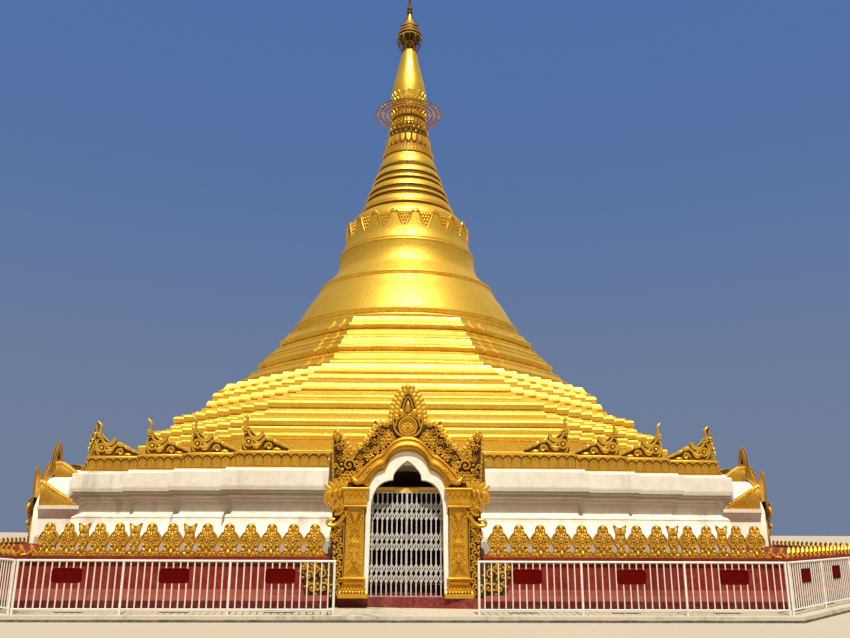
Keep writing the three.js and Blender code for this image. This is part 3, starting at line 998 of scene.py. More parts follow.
@dataclass
class Terraces:
    """The four gilded terraces, whose faces are joined by flights of small square steps in plan."""

    finishes: Finishes
    face: float = 7.79
    half_face: float = 4.42
    steps: int = 8

    def build(self) -> None:
        """Builds the four courses."""
        sides = {f"terrace_{number}": side for number, side in enumerate(self._sides(), 1)}
        show_courses(self.finishes.gold, offset_plan(self._outline()), sides)

    def _outline(self) -> list[Vector]:
        """Draws the plan."""
        step = (self.face - self.half_face) / self.steps
        quarter = [(self.face, self.half_face)]
        for i in range(1, self.steps + 1):
            quarter.append((self.face - i * step, self.half_face + (i - 1) * step))
            quarter.append((self.face - i * step, self.half_face + i * step))
        return fourfold(quarter)

    def _sides(self) -> list[Profile]:
        """Draws the side of each course: plain neck, slope, groove, rounded lip and sloping top."""
        first = Profile(-0.06, FRIEZE_TOP).to((-0.06, 3.335)).nose(-0.09, 3.365, 0.3, 3)
        first.to((-0.1, 3.37), (-0.105, 3.6), (-0.105, 3.64)).nose(-0.105, 3.77, 0.2, 8).to((-0.13, 3.79))
        second = Profile(-0.26, 3.79).to((-0.26, 3.805), (-0.28, 3.815), (-0.285, 3.93))
        second.nose(-0.34, 3.99, 0.12, 4)
        second.to((-0.365, 3.995), (-0.365, 4.015), (-0.325, 4.018), (-0.313, 4.105))
        second.nose(-0.385, 4.205, 0.12, 5).to((-0.39, 4.21), (-0.47, 4.26))
        third = Profile(-0.72, 4.26).to((-0.72, 4.275), (-0.745, 4.285), (-0.75, 4.385))
        third.nose(-0.83, 4.47, 0.12, 4).to((-0.84, 4.515), (-0.865, 4.52), (-0.865, 4.54), (-0.815, 4.543))
        third.to((-0.8, 4.65)).nose(-0.88, 4.745, 0.12, 5).to((-0.99, 4.755), (-1.0, 4.815), (-1.14, 4.83))
        fourth = Profile(-1.33, 4.83).to((-1.33, 4.86)).nose(-1.37, 4.955, 0.36, 6)
        fourth.to((-1.44, 4.96), (-1.455, 5.06)).nose(-1.55, 5.1, 0.1, 3)
        fourth.to((-1.61, 5.105), (-1.61, 5.135), (-1.55, 5.14)).nose(-1.61, 5.33, 0.05, 4)
        fourth.to((-1.7, 5.345), (-1.71, 5.475), (-1.7, 5.485)).nose(-1.8, 5.63, 0.16, 6)
        fourth.to((-1.86, 5.635), (-1.865, 5.66)).nose(-1.855, 5.715, 0.3, 4).to((-1.9, 5.72))
        fourth.sweep(-2.06, 5.96, -0.06, 5)
        return [first, second, third, fourth]


@dataclass
class Octagons:
    """The two octagonal courses, each face with two shallow steps up to its middle."""

    finishes: Finishes
    apothem: float = 5.32
    step: float = 0.055
    wide: float = 0.76
    narrow: float = 0.5

    def build(self) -> None:
        """Builds the two courses."""
        outline = self._outline()

        def plan(offset: float) -> list[Vector]:
            """Draws the plan at an offset of its faces."""
            return [point * (1 + offset / self.apothem) for point in outline]

        lower = Profile(0.06, 5.96).nose(0.05, 6.02, 0.3, 4).to((0.0, 6.025), (-0.01, 6.09))
        lower.nose(-0.03, 6.14, 0.3, 4).to((-0.07, 6.145)).sweep(-0.27, 6.34, -0.06, 4)
        lower.nose(-0.3, 6.4, 0.3, 4).to((-0.36, 6.405)).sweep(-0.53, 6.55, -0.06, 4)
        lower.to((-0.5, 6.575), (-0.49, 6.6)).nose(-0.5, 6.72, 0.3, 7).to((-0.56, 6.735))
        lower.sweep(-0.66, 6.86, -0.05, 4).nose(-0.68, 6.91, 0.3, 4).to((-0.72, 6.915), (-0.77, 7.0))
        upper = Profile(-0.78, 7.0).nose(-0.79, 7.07, 0.3, 4).to((-0.83, 7.075)).sweep(-0.98, 7.22, -0.06, 4)
        upper.nose(-1.0, 7.27, 0.3, 4).to((-1.04, 7.275)).sweep(-1.17, 7.39, -0.06, 4)
        upper.to((-1.13, 7.41), (-1.12, 7.44)).nose(-1.13, 7.56, 0.3, 7).to((-1.19, 7.575))
        upper.sweep(-1.35, 7.82, -0.05, 5)
        show_courses(self.finishes.gold, plan, {"octagon_lower": lower, "octagon_upper": upper})

    def _outline(self) -> list[Vector]:
        """Draws the plan."""
        corner = self.apothem * math.tan(math.pi / 8)
        face = [(self.apothem, -corner)]
        for level, reach in enumerate((self.wide, self.narrow)):
            face.append((self.apothem + level * self.step, -corner * reach))
            face.append((self.apothem + (level + 1) * self.step, -corner * reach))
        for level, reach in ((2, self.narrow), (1, self.wide)):
            face.append((self.apothem + level * self.step, corner * reach))
            face.append((self.apothem + (level - 1) * self.step, corner * reach))
        return fourfold(face, 8)


@dataclass
class Bell:
    """The smooth bell on its foot, and the band of scalloped lace at its shoulder."""

    finishes: Finishes
    segments: int = 96
    festoons: int = 19
    turn: float = -0.045
    shoulder: float = 2.2

    def build(self) -> None:
        """Builds the bell and its band."""
        side = Profile(4.01, 7.82).nose(4.02, 7.97, 0.2, 5).to((3.98, 7.98), (3.99, 8.02))
        side.nose(4.0, 8.19, 0.25, 6).to((3.95, 8.205))
        side.flow([(3.6, 8.85), (3.32, 9.28), (3.18, 9.52)]).to((3.1, 9.535), (3.1, 9.565))
        side.nose(3.08, 9.73, 0.35, 7).to((3.0, 9.745))
        side.flow([(2.82, 9.97), (2.58, 10.28), (2.475, 10.66), (2.465, 10.98)])
        side.nose(2.43, 11.07, 0.35, 5).to((2.4, 11.08), (2.39, 11.11)).nose(2.37, 11.18, 0.35, 5)
        side.flow([(2.27, 11.5), (2.225, 12.06)])
        work = Work()
        work.lathe(side, self.segments)
        Dress(self.finishes.gold, "gold_paint", ("bell",)).show("gilded_bell", work.mesh("bell", 40))
        self._band()

    def _band(self) -> None:
        """Builds the band over the bell with its hanging lace."""
        side = Profile(self.shoulder, 12.06).nose(2.19, 12.16, 0.3, 5).to((2.12, 12.17), (2.1, 12.27))
        side.sweep(1.82, 12.58, 0.1, 6).to((1.8, 12.61), (1.66, 12.62))
        side.to((1.66, 12.735), (1.745, 12.745), (1.735, 12.82))
        work = Work()
        work.lathe(side, self.segments)
        # Painted shade: the neck under the band's top lip is marked as a recess and comes out dark
        work.mark(lambda co: 0.1 if 12.615 < co.z < 12.74 and math.hypot(co.x, co.y) < 1.7 else 0.85)
        lace = self._festoon()
        for i in range(self.festoons):
            work.stamp(lace, Matrix.Rotation(self.turn + i * math.tau / self.festoons, 4, "Z"))
        Dress(self.finishes.ringed, "gold_paint", ("bell_band",)).show(
            "bell_band_lace", work.mesh("bell_band", 40)
        )

    def _festoon(self) -> bpy.types.Mesh:
        """Builds one leafy pendant with the arch beside it, hung on the bell's shoulder."""
        work = Work()
        reach = math.tau * self.shoulder / self.festoons / 2
        for row, (drop, count) in enumerate(((0.0, 4), (0.12, 3), (0.24, 2), (0.37, 1))):
            for k in range(count):
                work.ball(((k - (count - 1) / 2) * 0.1, -2.225 - 0.008 * row, 12.04 - drop), 0.05)
        work.ball((0.0, -2.265, 11.36), 0.035)
        for hand in HANDS:
            work.vine(
                [(hand * 0.23, 12.08), (hand * 0.18, 11.86), (hand * 0.085, 11.62), (0.0, 11.4)], 2.245,
                (0.03, 0.022), 5,
            )
            swag = arc((hand * 0.22, 12.02), (hand * 0.26, 12.22), (hand * reach, 12.2), 5)
            work.vine([(hand * 0.22, 12.02), *swag], 2.225, (0.024, 0.028), 5)
        # Painted shade: the lace is darker the nearer it lies to the bell
        work.mark(lambda co: (-co.y - self.shoulder) / 0.05)
        return work.mesh("festoon")


@dataclass
class Spire:
    """The ringed spire, the lotus bands, the bud, the umbrella, the finial and the wreath."""

    finishes: Finishes
    segments: int = 64
    ring_foot: float = 12.82
    ring_faces: tuple[tuple[Pair, Pair, float], ...] = (
        ((1.735, 12.825), (1.61, 13.07), 13.225),
        ((1.58, 13.23), (1.53, 13.335), 13.5),
        ((1.5, 13.505), (1.38, 13.745), 13.87),
        ((1.36, 13.875), (1.31, 13.99), 14.155),
        ((1.28, 14.16), (1.165, 14.4), 14.56),
    )
    petals: int = 24

    def build(self) -> None:
        """Builds the parts from the rings up."""
        self._rings()
        self._lotus()
        self._bud()
        self._wreath()
        self._umbrella()
        self._finial()

    def _rings(self) -> None:
        """Builds the tapering stack of rings, broad and narrow by turns over grooves painted dark with
        shade.
        """
        side = Profile(1.735, self.ring_foot)
        for (low_radius, low), (top_radius, top), groove in self.ring_faces:
            side.to((low_radius - 0.012, low), (low_radius, low + 0.012)).nose(top_radius, top, 0.05, 4)
            side.to((top_radius - 0.055, top + 0.006), (top_radius - 0.065, groove))
        side.to((1.11, 14.565), (1.12, 14.58)).nose(0.97, 14.97, 0.05, 5).to((0.95, 14.98), (0.93, 15.06))
        work = Work()
        work.lathe(side, self.segments)
        grooves = [(top, groove) for _, (_, top), groove in self.ring_faces]
        # Painted shade: the grooves under the rings are marked as recesses
        work.mark(lambda co: 0.0 if any(low + 0.003 < co.z < high + 0.001 for low, high in grooves) else 1.0)
        Dress(self.finishes.ringed, "gold_paint", ("ringed_spire",)).show(
            "spire_rings", work.mesh("rings", 40)
        )

    def _lotus(self) -> None:
        """Builds the beaded band, the drooping petals, the waist, and the petals that stand up."""
        side = Profile(0.93, 15.06).to((0.93, 15.32), (0.84, 15.33), (0.82, 15.5))
        side.sweep(0.75, 15.88, 0.02, 3).to((0.72, 15.89), (0.72, 16.28), (0.64, 16.3), (0.63, 16.66))
        side.to((0.65, 16.68), (0.65, 16.78), (0.6, 16.79), (0.6, 16.93))
        side.sweep(0.7, 17.1, 0.04, 4).to((0.62, 17.18))
        work = Work()
        work.lathe(side, 48)
        # Painted shade: the core behind the petals is marked as a recess and comes out dark
        work.mark(lambda co: 0.05)
        tooth = Work()
        tooth.block((-0.052, -0.965, 15.1), (0.052, -0.92, 15.3))
        tooth.block((-0.03, -0.9, 15.34), (0.03, -0.82, 15.42))
        tooth.mark(lambda co: 1.0)
        self._around(work, tooth.mesh("tooth"), 48)
        droop = self._petal(0.73, 15.9, 15.46, 0.1, 0.86)
        self._around(work, droop, self.petals)
        bead = Work()
        bead.ball((0.0, -0.745, 16.21), 0.055)
        bead.ball((0.09, -0.735, 16.02), 0.035)
        bead.mark(lambda co: 1.0 if co.z > 16.1 else 0.5)
        self._around(work, bead.mesh("bead"), 24)
        flute = self._petal(0.6, 16.68, 16.26, 0.062, 0.675)
        self._around(work, flute, 30)
        rise = self._petal(0.6, 16.78, 17.14, 0.085, 0.69)
        self._around(work, rise, self.petals)
        Dress(self.finishes.carved, "carved_gold", ("lotus_bands",)).show(
            "lotus_petals", work.mesh("lotus", 40)
        )

    def _petal(self, root: float, start: float, tip: float, half: float, reach: float) -> bpy.types.Mesh:
        """Builds one pointed petal that leans out from its root to its tip.

        Args:
            root: Radius at the root.
            start: Height of the root.
            tip: Height of the tip.
            half: Half of its width.
            reach: Radius at its fullest.

        Returns:
            The petal at the front of the ring.
        """
        work = Work()
        rise = tip - start
        outline = [
            (-half, start), (-half, start + 0.62 * rise), (0.0, tip), (half, start + 0.62 * rise),
            (half, start),
        ]
        work.pillow(outline, root - 0.05, reach, [(1.0, 0.55), (0.72, 0.95), (0.2, 1.0)])
        for vert in work.bm.verts:
            part = (vert.co.z - start) / rise
            vert.co.y -= 0.05 * part * part
        # Painted shade: each petal is darker towards its root and its edges, where the petals meet
        work.mark(lambda co: (-co.y - root) / (reach - root) - 0.25 * abs(co.x) / half)
        return work.mesh("petal")

    def _around(self, work: Work, template: bpy.types.Mesh, count: int) -> None:
        """Repeats a template round the axis."""
        work.stamp(template, *(Matrix.Rotation(i * math.tau / count, 4, "Z") for i in range(count)))

    def _bud(self) -> None:
        """Builds the tall bud, with two rings of petals round its foot."""
        side = Profile(0.62, 17.18).flow([(0.645, 17.42), (0.665, 17.75), (0.643, 18.14), (0.581, 18.45)])
        side.flow([(0.508, 18.76), (0.43, 19.1), (0.35, 19.5), (0.28, 19.86)])
        work = Work()
        work.lathe(side, 48)
        work.mark(lambda co: 1.0)
        for count, root, tip in ((20, 17.62, 17.86), (26, 17.4, 17.6)):
            self._around(work, self._petal(0.64, root, tip, 0.075, 0.672), count)
        Dress(self.finishes.ringed, "gold_paint", ("spire_bud",)).show("gilded_bud", work.mesh("bud", 50))

    def _wreath(self, level: float = 17.05) -> None:
        """Builds the wreath of fine wires: rims, spokes and outward spikes."""
        work = Work()
        for i, radius in enumerate((0.74, 0.83, 0.92, 1.01, 1.1, 1.19, 1.25)):
            self._hoop(work, radius, level + 0.012 * (i % 2), 0.016 if i < 6 else 0.022)
        work.mark(lambda co: 0.1 + 0.9 * (math.floor(math.hypot(co.x, co.y) / 0.09 + 0.3) % 2))
        spoke = Work()
        spoke.tube(
            [Vector((0, -0.68, level)), Vector((0, -1.24, level))], [0.012, 0.01], 4, Vector((0, 0, 1))
        )
        spoke.tube(
            [Vector((0, -1.22, level)), Vector((0, -1.3, level - 0.1))], [0.01, 0.006], 4, Vector((0, 0, 1))
        )
        spoke.mark(lambda co: 0.4)
        self._around(work, spoke.mesh("spoke"), 40)
        Dress(self.finishes.umbrella, "carved_gold", ("spire_wreath",)).show(
            "wire_wreath", work.mesh("wreath")
        )

    def _hoop(self, work: Work, radius: float, level: float, thick: float, around: int = 48) -> None:
        """Makes a wire hoop round the axis."""
        section = circle((radius, 0.0), thick, 5)
        rings = []
        for i in range(around):
            turn = Matrix.Rotation(i * math.tau / around, 3, "Z")
            rings.append([turn @ Vector((out, 0, level + up)) for out, up in section])
        work.shell(rings, closed=True)

    def _umbrella(self) -> None:
        """Builds the umbrella: mast, dark tiers, bright rims and cone, hanging scrolls, wires with balls."""
        work = Work()
        work.lathe(Profile(0.12, 19.86).to((0.11, 20.35), (0.1, 20.9)), 16)
        for radius, low, high in ((0.43, 20.48, 20.6), (0.44, 20.63, 20.78), (0.33, 20.85, 20.99)):
            side = Profile(0.1, low + 0.05).to(
                (radius - 0.05, low + 0.02), (radius, low), (radius - 0.02, high)
            )
            work.lathe(side.to((0.1, high)), 32)
        # Painted shade: the tiers under the bright rims are marked as recesses and come out dark
        work.mark(lambda co: 0.0)
        bright = Work()
        cone = Profile(0.1, 21.0).to((0.32, 20.99), (0.335, 21.02)).sweep(0.075, 21.6, -0.06, 7)
        bright.lathe(cone.to((0.0, 21.6)), 32)
        for radius, level in ((0.46, 20.5), (0.475, 20.62), (0.37, 20.84)):
            self._hoop(bright, radius, level, 0.024)
        bright.mark(lambda co: 1.0)
        work.stamp(bright.mesh("bright"))
        scroll = Work()
        outer = [
            (0.47, 20.48), (0.495, 20.36), (0.46, 20.23), (0.39, 20.13), (0.365, 20.02), (0.31, 19.96),
            (0.29, 19.88),
        ]
        scroll.vine(outer, 0.0, (0.026, 0.016), 5)
        scroll.vine(
            [(0.43, 20.47), (0.39, 20.38), (0.31, 20.34), (0.28, 20.25), (0.33, 20.2), (0.37, 20.26)], 0.0,
            (0.02, 0.014), 4,
        )
        scroll.ball((0.295, 0.0, 19.87), 0.036)
        scroll.ball((0.47, 0.0, 20.42), 0.034)
        scroll.mark(lambda co: 0.12)
        self._around(work, scroll.mesh("scroll"), 12)
        leaf = Work()
        leaf.ball((0.0, -0.12, 20.33), 0.055)
        leaf.ball((0.0, -0.15, 20.17), 0.06)
        leaf.vine([(0.0, 20.12), (0.03, 20.0), (0.0, 19.9)], 0.2, (0.05, 0.012), 5)
        leaf.mark(lambda co: 0.8)
        self._around(work, leaf.mesh("foot_leaf"), 9)
        for hand in HANDS:
            wire = [(hand * 0.11, 21.55), (hand * 0.17, 21.38), (hand * 0.27, 21.22), (hand * 0.335, 21.14)]
            work.vine(wire, 0.0, (0.016, 0.012), 5)
            work.ball((hand * 0.343, 0.0, 21.12), 0.034)
        Dress(self.finishes.umbrella, "umbrella_metal", ("umbrella",)).show(
            "umbrella_tiers", work.mesh("umbrella")
        )

    def _finial(self) -> None:
        """Builds the ball and the rod with its bud."""
        side = Profile(0.06, 21.3).to((0.06, 21.62)).nose(0.06, 21.77, 0.36, 7)
        side.nose(0.05, 21.99, 0.22, 8).to(
            (0.045, 22.02), (0.04, 22.44), (0.055, 22.46), (0.055, 22.49), (0.035, 22.5)
        )
        side.flow([(0.08, 22.62), (0.05, 22.82), (0.0, 23.0)])
        work = Work()
        work.lathe(side, 24)
        work.mark(lambda co: 0.0)
        Dress(self.finishes.umbrella, "gold_paint", ("finial",)).show("finial_rod", work.mesh("finial", 50))


def inside(point: Pair, outline: Sequence[Pair]) -> bool:
    """Tells whether a point lies in a closed outline."""
    x, z = point
    crossings = 0
    for (ax, az), (bx, bz) in zip(outline, [*outline[1:], outline[0]]):
        if (az > z) != (bz > z) and x < ax + (bx - ax) * (z - az) / (bz - az):
            crossings += 1
    return crossings % 2 == 1


def put(x: float, z: float, front: float, size: float = 1.0, angle: float = 0.0, hand: int = 1) -> Matrix:
    """Places a template on an upright plane.

    Args:
        x: Across.
        z: Height.
        front: Distance of the plane in front of the centre.
        size: Scale of the template.
        angle: Degrees that it leans anticlockwise, seen from the front.
        hand: -1 to mirror it.

    Returns:
        The placing.
    """
    turn = Matrix.Rotation(math.radians(-angle), 4, "Y")
    return Matrix.Translation((x, -front, z)) @ turn @ Matrix.Diagonal((size * hand, size, size, 1))


class Carvings:
    """Small carved forms of unit size that face -Y, made once and stamped many times."""

    def __init__(self) -> None:
        """Builds the templates."""
        self.leaf = self._leaf()
        self.curl = self._curl()
        self.bud = self._bud()
        self.gem = self._gem()
        self.rosette = self._rosette()
        self.flame = self._flame()

    def _leaf(self) -> bpy.types.Mesh:
        """A pointed leaf with a raised rib, from its foot at the origin up."""
        work = Work()
        half = [(0.0, 0.0), (0.2, 0.12), (0.3, 0.38), (0.22, 0.68), (0.0, 1.0)]
        work.pillow([*half, *flip(half[1:-1])], 0.0, 0.28, [(0.86, 0.6), (0.12, 1.0)])
        work.mark(lambda co: -co.y / 0.24)
        return work.mesh("leaf", 50)

    def _curl(self) -> bpy.types.Mesh:
        """A curled shoot with a leaf on its back."""
        work = Work()
        work.vine([(-0.28, -0.55), *spiral((0.0, 0.05), 0.4, 1.15, 215, -1, 11)], 0.12, (0.15, 0.1), 5)
        work.pillow(
            [(-0.52, 0.05), (-0.35, -0.25), (-0.25, 0.05), (-0.42, 0.55)], 0.0, 0.2, [(0.8, 0.6), (0.2, 1.0)]
        )
        work.mark(lambda co: (-co.y - 0.02) / 0.2)
        return work.mesh("curl", 50)

    def _bud(self) -> bpy.types.Mesh:
        """A round-headed bud on a collar, from its foot at the origin up."""
        work = Work()
        half = [(0.18, 0.0), (0.3, 0.22), (0.26, 0.36), (0.34, 0.55), (0.28, 0.82), (0.12, 0.98)]
        work.pillow([*half, *flip(half)], 0.0, 0.3, [(0.92, 0.55), (0.6, 0.92), (0.15, 1.0)])
        work.vine(spiral((0.0, 0.6), 0.2, 0.9, -90, 1, 7), 0.3, (0.07, 0.05), 4)
        work.mark(lambda co: -co.y / 0.26)
        return work.mesh("carved_bud", 50)

    def _gem(self) -> bpy.types.Mesh:
        """A low round bead."""
        work = Work()
        work.pillow(circle((0.0, 0.0), 0.5, 7), 0.0, 0.42, [(0.85, 0.6), (0.3, 1.0)])
        work.mark(lambda co: 0.45 - co.y / 0.6)
        return work.mesh("gem", 70)

    def _rosette(self) -> bpy.types.Mesh:
        """A round flower: a centre, a ring of eight petals."""
        work = Work()
        work.stamp(self.gem, put(0, 0, 0.05, 0.42))
        for i in range(8):
            turn = math.tau * i / 8
            place = put(0.2 * math.sin(turn), 0.2 * math.cos(turn), 0.0, 0.42, -math.degrees(turn))
            work.stamp(self.leaf, place)
        return work.mesh("rosette", 50)

    def _flame(self) -> bpy.types.Mesh:
        """A leaf that licks to one side, from its foot at the origin up."""
        work = Work()
        right = arc((0.22, 0.0), (0.42, 0.45), (-0.12, 1.0), 6)
        left = arc((-0.12, 1.0), (-0.02, 0.45), (-0.22, 0.0), 5)
        work.pillow([(0.22, 0.0), *right, *left], 0.0, 0.26, [(0.82, 0.65), (0.15, 1.0)])
        work.mark(lambda co: -co.y / 0.22)
        return work.mesh("flame", 50)


@dataclass
class Frieze:
    """The gilded frieze over the white base: arched panels, and a curled ornament over every corner."""

    finishes: Finishes
    pitch: float = 0.21
    panel_top: float = 3.115

    def build(self) -> None:
        """Builds the course with its panels, and the ornaments."""
        plan = offset_plan(fourfold(bay_quarter()))
        work = Work()
        side = Profile(-0.17, BASE_TOP).to((-0.17, 2.825), (-0.205, 2.83), (-FRIEZE_INSET, 2.845))
        side.to((-FRIEZE_INSET, self.panel_top), (-0.215, 3.12)).nose(-0.215, 3.165, 0.3, 4)
        side.to((-0.3, 3.17), (-0.3, FRIEZE_TOP))
        work.course(plan, side)
        # Painted shade: the recessed field behind the panels is marked low and comes out dark
        work.mark(lambda co: 0.15 if 2.84 < co.z < 3.118 else 0.9)
        panel = self._panel()
        face = plan(-FRIEZE_INSET)
        for a, b in zip(face, face[1:] + face[:1]):
            run = b - a
            count = max(round(run.length / self.pitch), 1)
            width = run.length / count
            turn = Matrix.Rotation(math.atan2(run.y, run.x), 4, "Z")
            for i in range(count):
                middle = a + run * ((i + 0.5) / count)
                place = Matrix.Translation((middle.x, middle.y, 0)) @ turn
                work.stamp(panel, place @ Matrix.Diagonal((width / self.pitch, 1, 1, 1)))
        dress = Dress(self.finishes.frieze, "frieze_gold", ("frieze_course",))
        dress.show("frieze_panels", work.mesh("frieze"))
        self._ornaments()

    def _panel(self) -> bpy.types.Mesh:
        """Builds one panel: a pier, an arched field with fine ribs, and the bright lip over it."""
        work = Work()
        half = self.pitch / 2
        work.block((-half - 0.012, -0.008, 2.85), (-half + 0.012, 0.01, 3.08))
        field_half = half - 0.024
        field_outline = [(field_half, 2.853), *curve((field_half, 3.055), (0.055, 3.1), (0.0, 3.102), 3)]
        work.plate([*field_outline, *flip(field_outline[:-1])], -0.01, [(0.0, 0.004), (0.006, 0.009)])
        for x in (-0.048, -0.016, 0.016, 0.048):
            work.block((x - 0.004, -0.016, 2.86), (x + 0.004, 0.0, 3.06))
        edge = curve((half, 3.062), (0.055, 3.128), (0.0, 3.134), 4)
        lip = [(-half, 3.158), *[(-x, z) for x, z in edge], *edge[-2::-1], (half, 3.158)]
        work.plate(lip[::-1], -0.01, [(0.0, 0.034), (0.008, 0.042)])
        # Painted shade: the panel is darker the further back it lies
        work.mark(lambda co: 0.42 + max(-co.y, 0) / 0.05)
        bead = Work()
        bead.ball((0.0, -0.02, 3.072), 0.017)
        bead.mark(lambda co: 1.2)
        work.stamp(bead.mesh("bead", 60))
        return work.mesh("frieze_panel", 20)

    def _ornaments(self) -> None:
        """Builds the corner ornaments of every side."""
        template = self._ornament()
        work = Work()
        for side in Side:
            for half, face in BASE_BAYS:
                for hand in HANDS:
                    place = put(
                        hand * (half - FRIEZE_INSET - 0.1), FRIEZE_TOP, face - FRIEZE_INSET - 0.13,
                        hand=-hand,
                    )
                    work.stamp(template, side.turn @ place)
        Dress(self.finishes.ringed, "frieze_gold").show("corner_ornaments", work.mesh("ornaments", 50))

    def _ornament(self) -> bpy.types.Mesh:
        """Builds one ornament, its spike at the origin and its tail along +X, with its back on y = 0."""
        work = Work()
        web = [
            (0.02, -0.06), (1.1, -0.06), (1.06, 0.05), (0.88, 0.14), (0.72, 0.22), (0.56, 0.29), (0.49, 0.4),
            (0.42, 0.33), (0.33, 0.33), (0.24, 0.4), (0.15, 0.53),
        ]
        work.plate([*web, (0.05, 0.5), (0.02, 0.25)], 0.0, [(0.0, 0.035), (0.02, 0.045)])
        work.plate(
            [(0.0, -0.08), (1.1, -0.08), (1.1, -0.01), (0.0, -0.01)], 0.0, [(0.0, 0.12), (0.01, 0.13)]
        )
        self._spike(work)
        self._bosses(work)
        self._tail(work)
        # Painted shade: the ornament is darker the further back it lies
        work.mark(lambda co: (-co.y - 0.048) / 0.05)
        return work.mesh("ornament", 50)

    def _spike(self, work: Work) -> None:
        """Adds the spike with its hooked bulb and neck ring, and the bars that lead down from the ring."""
        path = [
            (0.09, 0.5), (0.105, 0.58), (0.1, 0.655), (0.115, 0.7), (0.1, 0.755), (0.05, 0.8), (0.01, 0.845),
        ]
        radii = [0.035, 0.036, 0.028, 0.036, 0.042, 0.024, 0.006]
        work.tube([Vector((x, -0.065, z)) for x, z in path], radii, 7)
        work.vine([(0.02, 0.56), (0.07, 0.53), (0.125, 0.485)], 0.07, (0.03, 0.03))
        work.vine([(0.03, 0.5), (0.08, 0.46), (0.12, 0.44)], 0.07, (0.025, 0.025))
        work.vine(curve((0.15, 0.53), (0.24, 0.4), (0.33, 0.345), 4), 0.07, (0.018, 0.016), 5)
        crescent = curve((0.14, 0.47), (0.2, 0.25), (0.35, 0.3), 5)
        work.vine([*crescent, *arc((0.35, 0.3), (0.44, 0.33), (0.455, 0.43), 4)], 0.075, (0.034, 0.022))
        ear = curve((0.27, 0.25), (0.47, 0.26), (0.485, 0.4), 5)
        work.vine([*ear, (0.475, 0.45)], 0.07, (0.042, 0.022))
        work.vine([*curve((0.05, 0.12), (0.02, 0.3), (0.08, 0.4), 5), (0.12, 0.385)], 0.06, (0.04, 0.02))

    def _bosses(self, work: Work) -> None:
        """Adds the ringed boss, the small boss, the lobes and the leaf that rises to the ear."""
        work.vine(circle((0.17, 0.19), 0.085, 12, closed=True), 0.06, (0.032, 0.032), 5)
        work.ball((0.17, -0.07, 0.19), 0.045)
        work.ball((0.345, -0.08, 0.185), 0.032)
        wave = curve((0.1, 0.255), (0.2, 0.32), (0.3, 0.23), 5)
        work.vine([*wave, *arc((0.3, 0.23), (0.36, 0.13), (0.46, 0.2), 5), (0.56, 0.3)], 0.07, (0.03, 0.04))
        lobe = [
            *curve((0.23, 0.15), (0.24, 0.02), (0.36, 0.035), 6),
            *arc((0.36, 0.035), (0.46, 0.06), (0.52, 0.22), 5),
        ]
        work.pillow(lobe, 0.02, 0.11, [(0.88, 0.6), (0.5, 0.95), (0.1, 1.0)])
        work.vine([(0.06, 0.14), (0.08, 0.06), (0.13, 0.02)], 0.06, (0.03, 0.02))

    def _tail(self, work: Work) -> None:
        """Adds the scroll, the leaf pads and the ringed tail with its upturned knob."""
        work.vine(spiral((0.63, 0.095), 0.085, 1.3, 200, -1, 13), 0.075, (0.032, 0.02), 5)
        work.pillow(
            [(0.7, 0.0), (0.92, 0.0), (0.9, 0.05), (0.8, 0.075), (0.72, 0.06)], 0.02, 0.09,
            [(0.8, 0.7), (0.3, 1.0)],
        )
        joints = [(0.53, 0.3), (0.71, 0.235), (0.88, 0.145), (1.06, 0.075)]
        for (ax, az), (bx, bz), thick in zip(joints, joints[1:], (0.062, 0.05, 0.038)):
            path = [(ax + (bx - ax) * s, az + (bz - az) * s) for s in (0.0, 0.12, 0.5, 0.9, 1.0)]
            radii = [thick * k for k in (0.6, 0.95, 1.0, 0.8, 0.6)]
            work.tube([Vector((x, -0.065, z)) for x, z in path], radii, 6)
        work.vine([(1.04, 0.08), (1.1, 0.055), (1.13, 0.08), (1.14, 0.115)], 0.065, (0.024, 0.016), 5)
        work.ball((1.14, -0.065, 0.115), 0.024)


